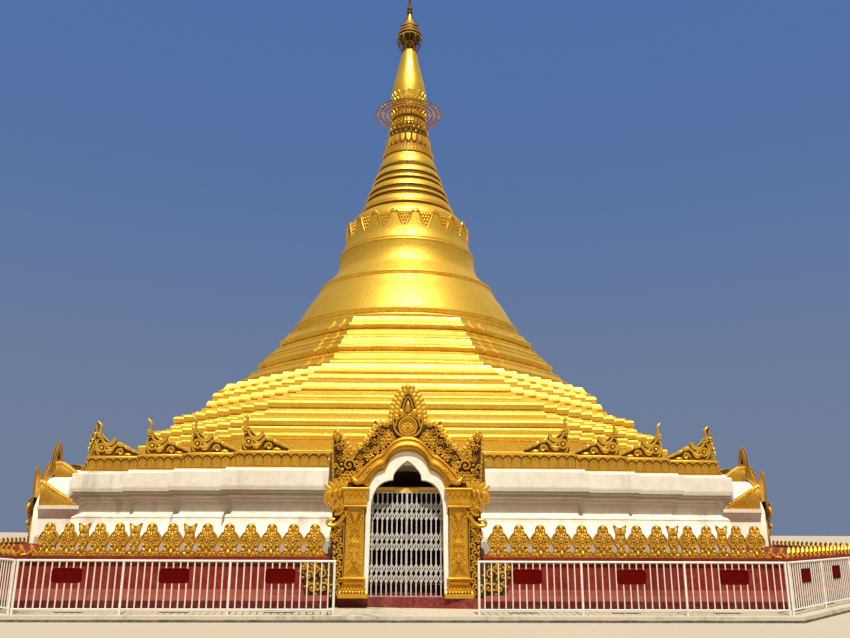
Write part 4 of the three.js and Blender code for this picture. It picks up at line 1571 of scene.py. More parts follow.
@dataclass
class Merlons:
    """The gilded balustrade: tall and folded merlons at the front and back, low curls elsewhere."""

    finishes: Finishes
    carvings: Carvings
    line: float = 11.8
    half: float = 7.2279
    mitre: float = 0.0373
    start: float = 1.53
    width: float = 0.4
    folded_width: float = 0.19
    low_width: float = 0.26
    tall_widths: tuple[float, ...] = (
        *(0.405, 0.405, 0.4, 0.4, 0.4, 0.41, 0.25, 0.39, 0.385),
        *(0.23, 0.355, 0.37, 0.215, 0.345, 0.375),
    )

    def build(self) -> None:
        """Builds the run round every corner of the plinth; opposite corners share one."""
        self.pear, self.fold, self.low = self._pear(), self._fold(), self._low()
        dress = Dress(self.finishes.carved, "carved_gold", ("merlons_{}",))
        runs = (self._corner(True), self._corner(False))
        for corner in Corner:
            dress.show_turned("gilded_merlons_{}", runs[corner.value % 2], (corner,))

    def _corner(self, front_is_tall: bool) -> bpy.types.Mesh:
        """Builds the run round the front right corner.

        Args:
            front_is_tall: Whether its tall merlons stand on the front face, and not on the right one.

        Returns:
            The mesh.
        """
        work = Work()
        forward = Matrix.Translation((0, -self.line, PLINTH_TOP))
        sideways = Matrix.Rotation(QUARTER, 4, "Z") @ forward @ Matrix.Diagonal((-1, 1, 1, 1))
        self._stretch(work, front_is_tall, forward)
        self._stretch(work, not front_is_tall, sideways)
        slant = Matrix.Rotation(QUARTER / 2, 4, "Z")
        far = (self.line + self.half) / math.sqrt(2)
        length = (self.line - self.half) * math.sqrt(2)
        self._low_run(work, -length / 2, length / 2, slant @ Matrix.Translation((0, -far, PLINTH_TOP)))
        return work.mesh("merlons", 50)

    def _stretch(self, work: Work, tall: bool, place: Matrix) -> None:
        """Adds the merlons from a gate to the corner of the plinth."""
        x = self.start
        for width in self.tall_widths if tall else ():
            template, own = (self.fold, self.folded_width) if width < 0.3 else (self.pear, self.width)
            middle = place @ Matrix.Translation((x + width / 2, 0, 0))
            work.stamp(template, middle @ Matrix.Diagonal((width / own, 1, 1, 1)))
            x += width
        self._low_run(work, x, self.half + self.mitre, place)

    def _low_run(self, work: Work, start: float, end: float, place: Matrix) -> None:
        """Adds a row of low merlons between two places along a face."""
        count = max(round((end - start) / self.low_width), 1)
        width = (end - start) / count
        for i in range(count):
            middle = place @ Matrix.Translation((start + (i + 0.5) * width, 0, 0))
            work.stamp(self.low, middle @ Matrix.Diagonal((width / self.low_width, 1, 1, 1)))

    def _body(self, half: Sequence[Pair], top: Sequence[Pair], rim: float) -> Work:
        """Starts a merlon with its rimmed body.

        Args:
            half: Its right edge from the foot up.
            top: Points between the two edges at the top.
            rim: Width of the raised rim.

        Returns:
            The work to go on with.
        """
        work = Work()
        steps = [(0.0, 0.062), (0.006, 0.074), (rim - 0.006, 0.074), (rim, 0.05)]
        work.plate([*half, *top, *flip(half)], 0.0, steps)
        return work

    def _pear(self) -> bpy.types.Mesh:
        """Builds one pear-shaped merlon: rosette between curls, leaves round it, collar and round bud."""
        half = [
            (0.2, 0.0), (0.2, 0.09), (0.17, 0.106), (0.148, 0.128), (0.143, 0.155), (0.155, 0.195),
            (0.178, 0.235), (0.199, 0.258), (0.199, 0.3), (0.192, 0.335), (0.176, 0.37), (0.158, 0.4),
            (0.14, 0.425), (0.128, 0.44), (0.112, 0.452), (0.098, 0.466), (0.098, 0.5), (0.088, 0.545),
            (0.058, 0.583),
        ]
        work = self._body(half, [(0.0, 0.602)], 0.018)
        self._hoop(work, 0.285, 0.052, 0.012)
        work.ball((0.0, -0.066, 0.285), 0.026)
        for hand in HANDS:
            for x, z, size, angle, wind in (
                (0.105, 0.335, 0.046, 60, 1),
                (0.112, 0.238, 0.04, -30, -1),
                (0.06, 0.392, 0.04, 200, -1),
                (0.06, 0.168, 0.036, 60, 1),
                (0.145, 0.04, 0.034, 150, -1),
                (0.075, 0.036, 0.03, 120, -1),
            ):
                curl = spiral((hand * x, z), size, 1.1, angle if hand > 0 else 180 - angle, hand * wind, 9)
                work.vine(curl, 0.07, (0.015, 0.009), 5)
            for x, z, size, angle in (
                (0.016, 0.335, 0.085, -34),
                (0.018, 0.235, 0.08, 146),
                (0.105, 0.075, 0.085, -16),
                (0.045, 0.445, 0.085, -22),
            ):
                self._leaf(work, hand * x, z, size, hand * angle)
        self._leaf(work, 0.0, 0.345, 0.095, 0)
        self._leaf(work, 0.0, 0.012, 0.13, 0)
        for i in range(7):
            work.stamp(self.carvings.gem, put(0.034 * (i - 3), 0.438, 0.06, 0.036))
        work.stamp(self.carvings.bud, put(0.0, 0.462, 0.052, 0.132))
        # Painted shade: the merlon is darker the further back it lies
        work.mark(lambda co: 0.3 + (-co.y - 0.05) / 0.026)
        return work.mesh("pear", 50)

    def _fold(self) -> bpy.types.Mesh:
        """Builds one folded merlon, narrow with two horns."""
        half = [
            (0.095, 0.0), (0.095, 0.098), (0.07, 0.108), (0.052, 0.13), (0.05, 0.155), (0.07, 0.215),
            (0.094, 0.262), (0.094, 0.29), (0.078, 0.34), (0.068, 0.39), (0.066, 0.44), (0.078, 0.5),
            (0.092, 0.555), (0.094, 0.602), (0.07, 0.592), (0.04, 0.56),
        ]
        work = self._body(half, [(0.0, 0.545)], 0.013)
        self._hoop(work, 0.282, 0.036, 0.011)
        work.ball((0.0, -0.064, 0.282), 0.018)
        for hand in HANDS:
            for x, z, size, angle in (
                (0.03, 0.42, 0.165, -12), (0.012, 0.325, 0.105, -18), (0.034, 0.012, 0.09, -28)
            ):
                self._leaf(work, hand * x, z, size, hand * angle)
            curl = spiral((hand * 0.04, 0.215), 0.028, 1.0, 90, -hand, 8)
            work.vine(curl, 0.066, (0.012, 0.008), 4)
        self._leaf(work, 0.0, 0.075, 0.12, 0)
        # Painted shade: the merlon is darker the further back it lies
        work.mark(lambda co: 0.3 + (-co.y - 0.05) / 0.026)
        return work.mesh("fold", 50)

    def _low(self) -> bpy.types.Mesh:
        """Builds one low merlon: an S-shaped licking curl on a strip of small loops."""
        work = Work()
        end = self.low_width / 2
        work.block((-end, -0.062, 0.0), (end, 0.0, 0.045))
        path = [
            (0.115, 0.03), (0.05, 0.048), (-0.005, 0.07), (-0.04, 0.11), (-0.02, 0.15), (0.02, 0.18),
            (0.012, 0.215),
        ]
        points = [Vector((x, -0.045, z)) for x, z in path]
        work.tube(points, [0.02, 0.034, 0.046, 0.044, 0.036, 0.026, 0.008], 5)
        work.vine([(-0.12, 0.055), (-0.07, 0.105), (-0.045, 0.06)], 0.05, (0.014, 0.012), 4)
        work.vine(spiral((-0.06, 0.02), 0.028, 0.8, 90, 1, 4), 0.062, (0.012, 0.01), 4)
        work.vine(spiral((0.06, 0.02), 0.028, 0.8, 90, -1, 4), 0.062, (0.012, 0.01), 4)
        # Painted shade: the merlon is darker the further back it lies
        work.mark(lambda co: 0.25 + (-co.y - 0.035) / 0.035)
        return work.mesh("low", 60)

    def _leaf(self, work: Work, x: float, z: float, size: float, angle: float) -> None:
        """Adds a leaf to a merlon's field."""
        work.stamp(self.carvings.leaf, put(x, z, 0.052, size, angle))

    def _hoop(self, work: Work, level: float, radius: float, thick: float) -> None:
        """Adds a round moulding to a merlon's field."""
        work.vine(circle((0.0, level), radius, 12, closed=True), 0.062, (thick, thick), 5)


@dataclass
class Fence:
    """The low white fence: posts, two rails, fifteen spaces to a bay and a maroon plaque in each bay."""

    finishes: Finishes
    apothem: float = 13.0
    half_face: float = 6.68
    gap: float = 1.225
    end: float = 0.02
    height: float = 0.89
    spaces: int = 15
    post: float = 0.045
    bar: float = 0.0115
    low_rail: float = 0.07
    plaque_low: float = 0.385
    plaque_high: float = 0.14
    plaque_half: float = 0.256
    plaque_corner: float = 0.05
    plaque_shift: float = -0.04

    def build(self) -> None:
        """Builds two straight panels a side and one across each corner, with their plaques."""
        straight = self._panel(self.half_face - self.gap - self.end, 3)
        slant = self._panel((self.apothem - self.half_face) * math.sqrt(2) - 2 * self.end, 5)
        step = self.end / math.sqrt(2)
        left = Matrix.Translation((-self.half_face + self.end, -self.apothem, 0))
        right = Matrix.Translation((self.gap, -self.apothem, 0))
        across = Matrix.Translation((self.half_face + step, step - self.apothem, 0))
        across = across @ Matrix.Rotation(QUARTER / 2, 4, "Z")
        for side, corner in zip(Side, Corner):
            self._show(f"fence_{side.label}_a", straight, side.turn @ left)
            self._show(f"fence_{side.label}_b", straight, side.turn @ right)
            self._show(f"fence_{corner.label}", slant, side.turn @ across)

    def _show(self, node: str, meshes: Sequence[bpy.types.Mesh], place: Matrix) -> None:
        """Shows a copy of a panel's bars and of its plaques in their place."""
        rails, plaques = (mesh.copy() for mesh in meshes)
        rails.transform(place)
        plaques.transform(place)
        Dress(self.finishes.fence, "fence_paint", (node,)).show("railing_" + node, rails)
        Dress(self.finishes.plaque, "fence_paint").show("plaques_" + node, plaques)

    def _panel(self, length: float, bays: int) -> tuple[bpy.types.Mesh, bpy.types.Mesh]:
        """Builds one panel along +X from the origin.

        Args:
            length: Its length.
            bays: Number of bays.

        Returns:
            The mesh of its bars and the mesh of its plaques.
        """
        rails, plaques = Work(), Work()
        top = KERB_TOP + self.height
        foot = KERB_TOP + self.low_rail
        self._rail(rails, length, top - 0.02, 0.02)
        self._rail(rails, length, foot + 0.015, 0.014)
        bay = length / bays
        for i in range(bays + 1):
            x = min(max(i * bay, self.post / 2), length - self.post / 2)
            self._bar(rails, x, KERB_TOP, top - 0.01, self.post / 2, 8)
        for i in range(bays):
            middle = (i + 0.5) * bay
            low, high = top - self.plaque_low, top - self.plaque_high
            for k in range(1, self.spaces):
                x = i * bay + k * bay / self.spaces
                if abs(x - middle) < 0.25:
                    self._bar(rails, x, foot, low + 0.01, self.bar, 5)
                    self._bar(rails, x, high - 0.01, top - 0.02, self.bar, 5)
                else:
                    self._bar(rails, x, foot, top - 0.02, self.bar, 5)
            self._plaque(plaques, middle + self.plaque_shift, low, high)
        return rails.mesh("rails", 60), plaques.mesh("plaques", 30)

    def _plaque(self, work: Work, middle: float, low: float, high: float) -> None:
        """Adds a plaque with rounded corners and a raised rim."""
        corner = self.plaque_corner
        across = self.plaque_half - corner
        outline = []
        for x, z, start in ((across, low, 270), (across, high, 0), (-across, high, 90), (-across, low, 180)):
            centre = z + (corner if z == low else -corner)
            for turn in (0, 45, 90):
                angle = math.radians(start + turn)
                outline.append((middle + x + corner * math.cos(angle), centre + corner * math.sin(angle)))
        work.plate(outline, -0.012, [(0.0, 0.012), (0.008, 0.018), (0.016, 0.018), (0.022, 0.013)])

    def _rail(self, work: Work, length: float, z: float, half: float) -> None:
        """Adds a rail with rounded edges along the panel."""
        ring = circle((0.0, 0.0), half, 8, 0.5)
        work.shell([[Vector((x, y, z + up)) for y, up in ring] for x in (0.0, length)])

    def _bar(self, work: Work, x: float, low: float, high: float, radius: float, sides: int) -> None:
        """Adds an upright bar or post."""
        ring = circle((0.0, 0.0), radius, sides)
        work.shell([[Vector((x + dx, dy, z)) for dx, dy in ring] for z in (low, high)])


@dataclass
class Gate:
    """The gate of one side: white cusped arch, gilded surround with hood and crest, and folding leaves."""

    finishes: Finishes
    carvings: Carvings
    plane: float = 11.8
    wall: float = 11.95
    sill: float = 0.28
    pilaster: float = 0.98
    medallion: float = 3.455
    drop: float = 3.83
    grille_half: float = 0.755
    grille_spaces: int = 16
    grille_back: float = 11.572
    grille_front: float = 11.592
    cross_planes: Pair = (11.5675, 11.5965)

    def build(self) -> None:
        """Builds the gate once and shows a copy on every side."""
        self.tongue = self._tongue()
        arch = Dress(self.finishes.arch, "limewash", ("{}_arch",))
        surround = Dress(self.finishes.gate, "carved_gold", ("{}_gate_surround",))
        grille = Dress(self.finishes.grille, "grille_paint", ("{}_gate_grille",))
        arch.show_turned("white_{}_arch", self._arch(), Side)
        surround.show_turned("gilded_{}_gate", self._surround(), Side)
        grille.show_turned("folding_{}_gate", self._leaves(), Side)
        Dress(self.finishes.lintel, "gold_paint").show_turned("{}_gate_lintel", self._lintel(), Side)

    def _frame(self, outer: Sequence[Pair], opening: Sequence[Pair]) -> list[Pair]:
        """Joins the right halves of an outer edge and an opening, both from the foot up."""
        right = list(outer)
        return [*right, *flip(right[:-1]), *[(-x, z) for x, z in opening[:-1]], *list(opening)[::-1]]

    def _arch(self) -> bpy.types.Mesh:
        """Builds the white arch with its cusped opening and the raised face inside the hood."""
        opening = [
            (0.715, self.sill), (0.697, 1.1), *curve((0.69, 1.83), (0.685, 2.4), (0.275, 2.418), 10),
            *curve((0.262, 2.52), (0.17, 2.68), (0.0, 2.785), 6),
        ]
        outer = [(1.36, self.sill), (1.36, 2.08), (1.2, 2.36), (0.86, 2.8), (0.48, 3.05), (0.0, 3.15)]
        work = Work()
        work.plate(self._frame(outer, opening), self.plane - 0.199, [(0.0, self.plane)])
        inner, _ = self._hood_edges()
        face = [(0.796, self.sill), (0.786, 1.9), *inner]
        front = self.plane + 0.06
        face = [(x - 0.001, z) for x, z in face]
        work.plate(self._frame(face, opening), self.plane, [(0.0, front - 0.01), (0.01, front)])
        return work.mesh("arch", 30)

    def _hood_edges(self) -> tuple[list[Pair], list[Pair]]:
        """Draws the inner and the outer edge of the right half of the hood, from its foot to its apex."""
        inner = [
            *curve((0.745, 2.275), (0.655, 2.585), (0.435, 2.61), 7),
            *curve((0.418, 2.64), (0.33, 2.965), (0.0, 2.972), 8),
        ]
        outer = [
            (1.02, 2.47), (0.965, 2.535), (0.9, 2.605), (0.837, 2.668), (0.765, 2.74), (0.69, 2.81),
            (0.615, 2.866), (0.545, 2.9), (0.5, 2.92), (0.455, 2.958), (0.405, 3.03), (0.345, 3.1),
            (0.28, 3.155), (0.21, 3.2), (0.14, 3.225), (0.07, 3.237), (0.0, 3.24),
        ]
        return inner, outer

    def _surround(self) -> bpy.types.Mesh:
        """Builds the gilded surround."""
        outer = [
            (1.36, self.sill), (1.375, 1.2), (1.41, 1.3), (1.45, 1.38), (1.44, 1.47), (1.4, 1.56),
            (1.38, 1.7), (1.4, 2.05), (1.42, 2.47), (1.445, 2.95), (1.457, 3.3), (1.425, 3.37),
            (1.37, 3.375), (1.315, 3.32), (1.265, 3.235), (1.2, 3.12), (1.13, 3.03), (1.04, 2.965),
            (0.97, 3.005), (0.89, 3.085), (0.83, 3.14), (0.77, 3.225), (0.72, 3.285), (0.66, 3.37),
            (0.61, 3.445), (0.55, 3.51), (0.48, 3.56), (0.39, 3.535), (0.335, 3.56), (0.322, 3.7),
            (0.292, 3.85), (0.235, 4.02), (0.14, 4.17), (0.06, 4.245), (0.0, 4.295),
        ]
        inner, hood = self._hood_edges()
        opening = [(0.8, self.sill), (0.79, 1.9), *inner]
        work = Work()
        front = self.plane + 0.045
        work.plate(self._frame(outer, opening), self.plane, [(0.0, front - 0.01), (0.01, front)])
        # Painted shade: the plate's front, the ground between the carvings, is marked as a recess; its other
        # faces stay light
        work.mark(lambda co: 0.0 if -co.y > front - 0.005 else 0.7)
        half = Work()
        carvings = (self._pilaster(), self._foliage(hood), self._crockets(), self._finial())
        for part in (*carvings, self._bracket(), self._wing()):
            half.stamp(part)
        work.stamp(half.mesh("gate_half", 50), Matrix.Identity(4), put(0, 0, 0, hand=-1))
        work.stamp(self._hood())
        work.stamp(self._medallion())
        return work.mesh("surround", 45)

    def _hood(self) -> bpy.types.Mesh:
        """Builds the cusped hood: fillet, hollow soffit, broad moulding with a ridge, and two toes."""
        inner, outer = self._hood_edges()
        inner, outer = [*inner, *flip(inner[:-1])], [*outer, *flip(outer[:-1])]
        section = [
            (0.0, 0.0), (0.0, 0.088), (0.02, 0.096), (0.06, 0.094), (0.08, 0.076), (0.13, 0.074),
            (0.24, 0.088), (0.32, 0.118), (0.355, 0.15), (0.4, 0.168), (0.45, 0.17), (0.53, 0.16),
            (0.62, 0.142), (0.7, 0.122), (0.75, 0.104), (0.77, 0.088), (0.8, 0.088), (0.82, 0.112),
            (0.86, 0.122), (0.91, 0.118), (0.945, 0.098), (1.0, 0.09), (1.0, 0.0),
        ]
        work = Work()
        rings = []
        for (ix, iz), (ox, oz) in zip(inner, outer):
            rings.append(
                [Vector((ix + (ox - ix) * s, -self.plane - f, iz + (oz - iz) * s)) for s, f in section]
            )
        work.shell(rings)
        for hand in HANDS:
            toe = curve((hand * 0.86, 2.43), (hand * 0.985, 2.31), (hand * 1.055, 2.47), 7)
            points = [Vector((x, -self.plane - 0.12, z)) for x, z in toe]
            work.tube(points, [0.075, 0.072, 0.066, 0.06, 0.054, 0.048, 0.042, 0.03], 8)
            knob = Matrix.Translation((hand * 0.745, 0, 2.6))
            knob = knob @ Matrix.Rotation(hand * math.radians(45), 4, "Y")
            for x, z, size in (
                (-0.035, 0.0, 0.03), (0.035, 0.0, 0.03), (0.0, 0.02, 0.024), (0.0, -0.02, 0.024)
            ):
                work.ball(knob @ Vector((x, -self.plane - 0.16, z)), size)
        # Painted shade: the hood is darker where it lies further back
        work.mark(lambda co: 0.35 + (-co.y - self.plane - 0.07) / 0.08)
        return work.mesh("hood", 40)

    def _pilaster(self) -> bpy.types.Mesh:
        """Builds the right pilaster: splayed base, tapered shaft with chevrons and a flower, capital."""
        side = Profile(0.08, self.sill).to((0.08, 0.362), (0.074, 0.374)).sweep(0.012, 0.585, -0.14, 5)
        side.to((0.012, 0.595)).nose(0.012, 0.645, 0.5, 5).to((0.0, 0.65), (-0.022, 1.9), (0.014, 1.905))
        side.nose(0.014, 1.952, 0.45, 5).to((0.026, 1.957), (0.052, 2.215), (0.06, 2.225))
        side.nose(0.062, 2.276, 0.35, 4)
        half, front = 0.187, self.plane + 0.1
        work = Work()
        rings = []
        for out, z in side.points:
            left, right = self.pilaster - half - out, self.pilaster + half + out
            corners = ((left, 0.04), (right, 0.04), (right, 0.1 + out), (left, 0.1 + out))
            rings.append([Vector((x, -self.plane - y, z)) for x, y in corners])
        work.shell(rings)
        # Painted shade: the set-back shaft and the band under the capital are marked half low
        work.mark(lambda co: 0.42 if 0.655 < co.z < 1.9 or 1.96 < co.z < 2.215 else 1.0)
        trim = Work()
        for i in range(8):
            for level, size, out in ((0.385, 0.125, 0.06), (0.475, 0.115, 0.012)):
                reach = 0.058 - 0.25 * (level - 0.385) / 2
                lean = put(self.pilaster + (i - 3.5) * reach, level, front + out, size)
                trim.stamp(self.carvings.leaf, lean @ Matrix.Rotation(math.radians(28), 4, "X"))
        for hand in HANDS:
            edge = [(self.pilaster + hand * 0.176, 0.67), (self.pilaster + hand * 0.156, 1.89)]
            trim.vine(edge, front - 0.012, (0.012, 0.012), 5)
        for k in range(3):
            self._chevron(trim, 1.83 - 0.01 * k, 0.142 - 0.034 * k, -0.385 + 0.1 * k, front - 0.01)
        for hand in HANDS:
            for i in range(5):
                share = 0.12 + 0.18 * i
                x, z = self.pilaster + hand * 0.118 * (1 - share), 1.8 - 0.3 * share
                trim.stamp(self.carvings.leaf, put(x, z, front - 0.018, 0.085, -150 * hand))
            stroke = [(self.pilaster + hand * 0.142, 1.62), (self.pilaster, 1.34)]
            trim.vine(stroke, front - 0.01, (0.009, 0.009), 4)
        trim.stamp(self.carvings.rosette, put(self.pilaster, 1.268, front - 0.012, 0.155))
        for turn in range(8):
            trim.stamp(self.carvings.leaf, put(self.pilaster, 1.268, front - 0.01, 0.085, 45 * turn))
        for k in range(3):
            self._chevron(trim, 0.685, 0.15 - 0.04 * k, 0.21 - 0.045 * k, front)
        trim.stamp(self.carvings.leaf, put(self.pilaster, 0.9, front - 0.004, 0.17))
        trim.stamp(self.carvings.leaf, put(self.pilaster, 0.7, front, 0.08))
        for hand in HANDS:
            for x, z, size, angle in (
                (0.08, 1.4, 0.075, 0),
                (0.095, 1.22, 0.075, 20),
                (0.06, 1.08, 0.085, -10),
                (0.115, 1.02, 0.075, 60),
                (0.12, 0.86, 0.08, 0),
                (0.055, 0.95, 0.07, 60),
            ):
                spot = put(self.pilaster + hand * x, z, front - 0.008, size, hand * angle, hand)
                trim.stamp(self.carvings.curl, spot)
        self._capital(trim, front)
        # Painted shade: the trim is darker the further back it lies
        trim.mark(lambda co: 0.35 + (-co.y - front + 0.015) / 0.018)
        work.stamp(trim.mesh("trim", 50))
        return work.mesh("pilaster", 40)

    def _capital(self, work: Work, front: float) -> None:
        """Adds the zigzag, the leaves and the beads of the capital."""
        left = self.pilaster - 0.216
        for level, rise in ((2.1, 0.085), (2.085, 0.085)):
            zigzag = [(left + 0.054 * i, level + rise * (i % 2)) for i in range(9)]
            work.vine(zigzag, front + 0.045, (0.01, 0.01), 4)
        for i in range(5):
            work.stamp(self.carvings.leaf, put(left + 0.108 * i, 2.12, front + 0.032, 0.075))
        for i in range(8):
            work.stamp(self.carvings.leaf, put(left + 0.027 + 0.054 * i, 1.965, front + 0.018, 0.085))

    def _chevron(self, work: Work, level: float, reach: float, drop: float, front: float) -> None:
        """Adds a V-shaped fillet on the pilaster, pointing up or down."""
        path = [
            (self.pilaster - reach, level), (self.pilaster, level + drop), (self.pilaster + reach, level),
        ]
        work.vine(path, front + 0.003, (0.012, 0.012), 4)

    def _volute(self, work: Work, x: float, z: float, radius: float, angle: float, hand: int) -> None:
        """Adds a bold scroll with a bead in its eye and leaves round its back."""
        front = self.plane + 0.085
        work.vine(spiral((x, z), radius, 1.35, angle, hand, 15), front, (0.2 * radius, 0.13 * radius), 6)
        work.ball((x, -front - 0.01, z), 0.17 * radius)
        for i in range(7):
            turn = math.radians(angle + hand * (12 + 38 * i))
            foot = (x + 0.98 * radius * math.cos(turn), z + 0.98 * radius * math.sin(turn))
            lean = math.degrees(turn) - 90 - 28 * hand
            work.stamp(self.carvings.leaf, put(*foot, self.plane + 0.05, 0.6 * radius + 0.015, lean))

    def _foliage(self, hood: Sequence[Pair]) -> bpy.types.Mesh:
        """Fills the fields of the right half with scrolls, curled shoots and leaves.

        Args:
            hood: The hood's outer edge, from its foot to its apex.

        Returns:
            The carving.
        """
        work = Work()
        volutes = [
            (1.127, 2.7, 0.12, 200, -1), (1.325, 3.03, 0.075, 20, 1), (1.375, 3.21, 0.05, 200, -1),
            (0.92, 2.86, 0.06, 150, 1), (0.785, 3.0, 0.065, 60, -1), (0.64, 3.17, 0.065, 150, 1),
            (0.495, 3.36, 0.07, 60, -1), (1.33, 2.57, 0.065, 90, 1), (1.31, 2.82, 0.055, 270, -1),
            (0.415, 3.475, 0.04, 200, 1), (1.3, 1.42, 0.055, 120, 1),
        ]
        for volute in volutes:
            self._volute(work, *volute)
        field_edge = [
            (1.1, 2.34), (1.4, 2.34), (1.425, 2.95), (1.435, 3.28), (1.38, 3.35), (1.31, 3.26), (1.21, 3.08),
            (1.04, 2.94), (0.93, 3.02), (0.82, 3.12), (0.7, 3.29), (0.6, 3.43), (0.48, 3.54), (0.37, 3.51),
            (0.33, 3.28),
        ]
        field_edge += [(x, z + 0.035) for x, z in reversed(hood) if x > 0.25]
        step = 0.078
        for row in range(17):
            for column in range(19):
                x = 0.1 + step * (column + 0.5 * (row % 2))
                z = 2.33 + step * 0.87 * row
                free = all(math.dist((x, z), volute[:2]) > volute[2] + 0.045 for volute in volutes)
                if free and inside((x, z), field_edge):
                    hand = 1 if (row + column) % 2 else -1
                    angle = (column * 47 + row * 71) % 120 - 60
                    work.stamp(self.carvings.curl, put(x, z, self.plane + 0.048, 0.125, angle, hand))
        for i in range(10):
            hand = 1 if i % 2 else -1
            spot = put(1.265 + 0.03 * hand, 0.36 + 0.105 * i, self.plane + 0.045, 0.15, 20 * hand, hand)
            work.stamp(self.carvings.curl, spot)
            work.stamp(self.carvings.leaf, put(1.33, 0.3 + 0.105 * i, self.plane + 0.045, 0.11, -35))
        for x, z, angle in (
            (1.38, 1.36, 0), (1.42, 1.43, 60), (1.34, 1.47, 20), (1.27, 1.53, 100), (1.36, 1.58, 150)
        ):
            work.stamp(self.carvings.curl, put(x, z, self.plane + 0.048, 0.13, angle))
        work.vine([(1.185, 0.31), (1.185, 1.93)], self.plane + 0.06, (0.014, 0.014), 5)
        work.vine([(1.365, 0.31), (1.372, 1.22)], self.plane + 0.055, (0.014, 0.014), 5)
        border = [(1.408, 2.47), (1.432, 2.95), (1.445, 3.29), (1.42, 3.355)]
        work.vine(border, self.plane + 0.055, (0.014, 0.012), 5)
        # Painted shade: the carving is darker the further back it lies
        work.mark(lambda co: (-co.y - self.plane - 0.05) / 0.045)
        return work.mesh("foliage", 50)

    def _crockets(self) -> bpy.types.Mesh:
        """Sets clusters of leaf tips along the outer edge of the right half."""
        work = Work()
        front = self.plane + 0.03
        clusters = [
            (0.895, 3.03, 38), (0.79, 3.145, 34), (0.7, 3.265, 30), (0.625, 3.385, 26), (0.52, 3.475, 14),
            (0.415, 3.475, 4),
        ]
        for x, z, angle in clusters:
            for turn, out, size in (
                (0, 0.0, 0.125), (-44, 0.012, 0.105), (42, 0.012, 0.105), (-80, 0.02, 0.08)
            ):
                work.stamp(self.tongue, put(x, z, front + out, size, turn - angle))
            work.ball((x, -front - 0.035, z - 0.005), 0.022)
        for x, z, angle in (
            (1.25, 3.2, 52), (1.195, 3.105, 48), (1.13, 3.02, 30), (1.055, 2.955, 5), (0.985, 2.965, -20)
        ):
            work.stamp(self.tongue, put(x + 0.01, z - 0.03, front, 0.1, angle))
            work.stamp(self.tongue, put(x + 0.02, z - 0.04, front + 0.015, 0.08, angle - 48))
        for x, z, angle, size in (
            (1.375, 3.27, 4, 0.125), (1.325, 3.25, 26, 0.1), (1.42, 3.23, -10, 0.11), (1.37, 3.16, 4, 0.1)
        ):
            work.stamp(self.tongue, put(x, z - 0.01, front + 0.01, size, angle))
        for i in range(10):
            work.stamp(self.tongue, put(1.4 + 0.005 * i, 2.38 + 0.088 * i, front, 0.085, -18))
        # Painted shade: the leaves are darker the further back they lie
        work.mark(lambda co: 0.25 + (-co.y - front) / 0.03)
        return work.mesh("crockets", 50)

    def _tongue(self) -> bpy.types.Mesh:
        """Builds one unit-sized leaf scale, round with a pointed tip and a raised middle."""
        work = Work()
        half = [(0.16, 0.0), (0.36, 0.22), (0.42, 0.48), (0.3, 0.78)]
        work.pillow([*half, (0.0, 1.0), *flip(half)], 0.0, 0.26, [(0.96, 0.55), (0.62, 0.78), (0.25, 1.0)])
        return work.mesh("tongue", 60)

    def _finial(self) -> bpy.types.Mesh:
        """Builds the right half of the finial's overlapping leaf scales round its drop."""
        work = Work()
        front = self.plane + 0.03
        edge = [
            (0.335, 3.5), (0.33, 3.6), (0.318, 3.72), (0.29, 3.86), (0.235, 4.02), (0.14, 4.17), (0.0, 4.3),
        ]
        for row in range(9):
            z = 3.545 + 0.082 * row
            pairs = zip(edge, edge[1:])
            reach = next(
                ax + (bx - ax) * (z - az) / (bz - az) for (ax, az), (bx, bz) in pairs if az <= z <= bz
            )
            for across in range(4):
                x = reach - 0.04 - 0.088 * across
                off_medallion = math.dist((x, z), (0.0, self.medallion)) > 0.255
                off_drop = math.dist((x, 0.45 * z), (0.0, 0.45 * self.drop)) > 0.095
                if x > -0.02 and off_medallion and off_drop:
                    work.stamp(self.tongue, put(x, z - 0.045, front + 0.01 * across, 0.145, -110 * x - 8))
        work.stamp(self.tongue, put(0.0, 4.14, front + 0.012, 0.17, 0))
        # Painted shade: the scales are darker the further back they lie
        work.mark(lambda co: 0.1 + (-co.y - front) / 0.045)
        return work.mesh("gate_finial", 50)

    def _bracket(self) -> bpy.types.Mesh:
        """Builds the bracket beside the capital: plumes, draped folds, a scroll and a curled end."""
        work = Work()
        plane = self.plane + 0.05
        back = [
            (1.16, 2.3), (1.24, 2.4), (1.42, 2.42), (1.49, 2.26), (1.5, 2.05), (1.44, 1.88), (1.3, 1.74),
            (1.16, 1.76),
        ]
        work.pillow(back, self.plane, plane + 0.04, [(0.96, 0.6), (0.6, 0.95), (0.2, 1.0)])
        for i, lean in enumerate((34, 12, -10, -32, -54)):
            foot = put(1.255 + 0.036 * i, 2.215 - 0.008 * i, plane + 0.035 + 0.006 * i, 0.245, lean)
            work.stamp(self.tongue, foot @ Matrix.Diagonal((0.46, 0.5, 1.0, 1.0)))
        for i, lean in enumerate((20, 0, -22, -44)):
            foot = put(1.275 + 0.036 * i, 2.205, plane + 0.06, 0.165, lean)
            work.stamp(self.tongue, foot @ Matrix.Diagonal((0.5, 0.5, 1.0, 1.0)))
        folds = (
            ((1.25, 2.26), (1.31, 2.16), (1.27, 2.08), 0.04),
            ((1.33, 2.25), (1.42, 2.14), (1.34, 2.03), 0.044),
            ((1.42, 2.24), (1.53, 2.12), (1.42, 1.97), 0.05),
            ((1.44, 2.25), (1.63, 2.12), (1.485, 1.88), 0.048),
            ((1.38, 2.1), (1.45, 1.98), (1.4, 1.88), 0.036),
        )
        for i, (start, pull, end, thick) in enumerate(folds):
            fold = [start, *arc(start, pull, end, 7)]
            shares = (0.55, 0.85, 1.0, 1.05, 1.05, 0.95, 0.75, 0.35)
            points = [Vector((px, -plane - 0.05, pz)) for px, pz in fold]
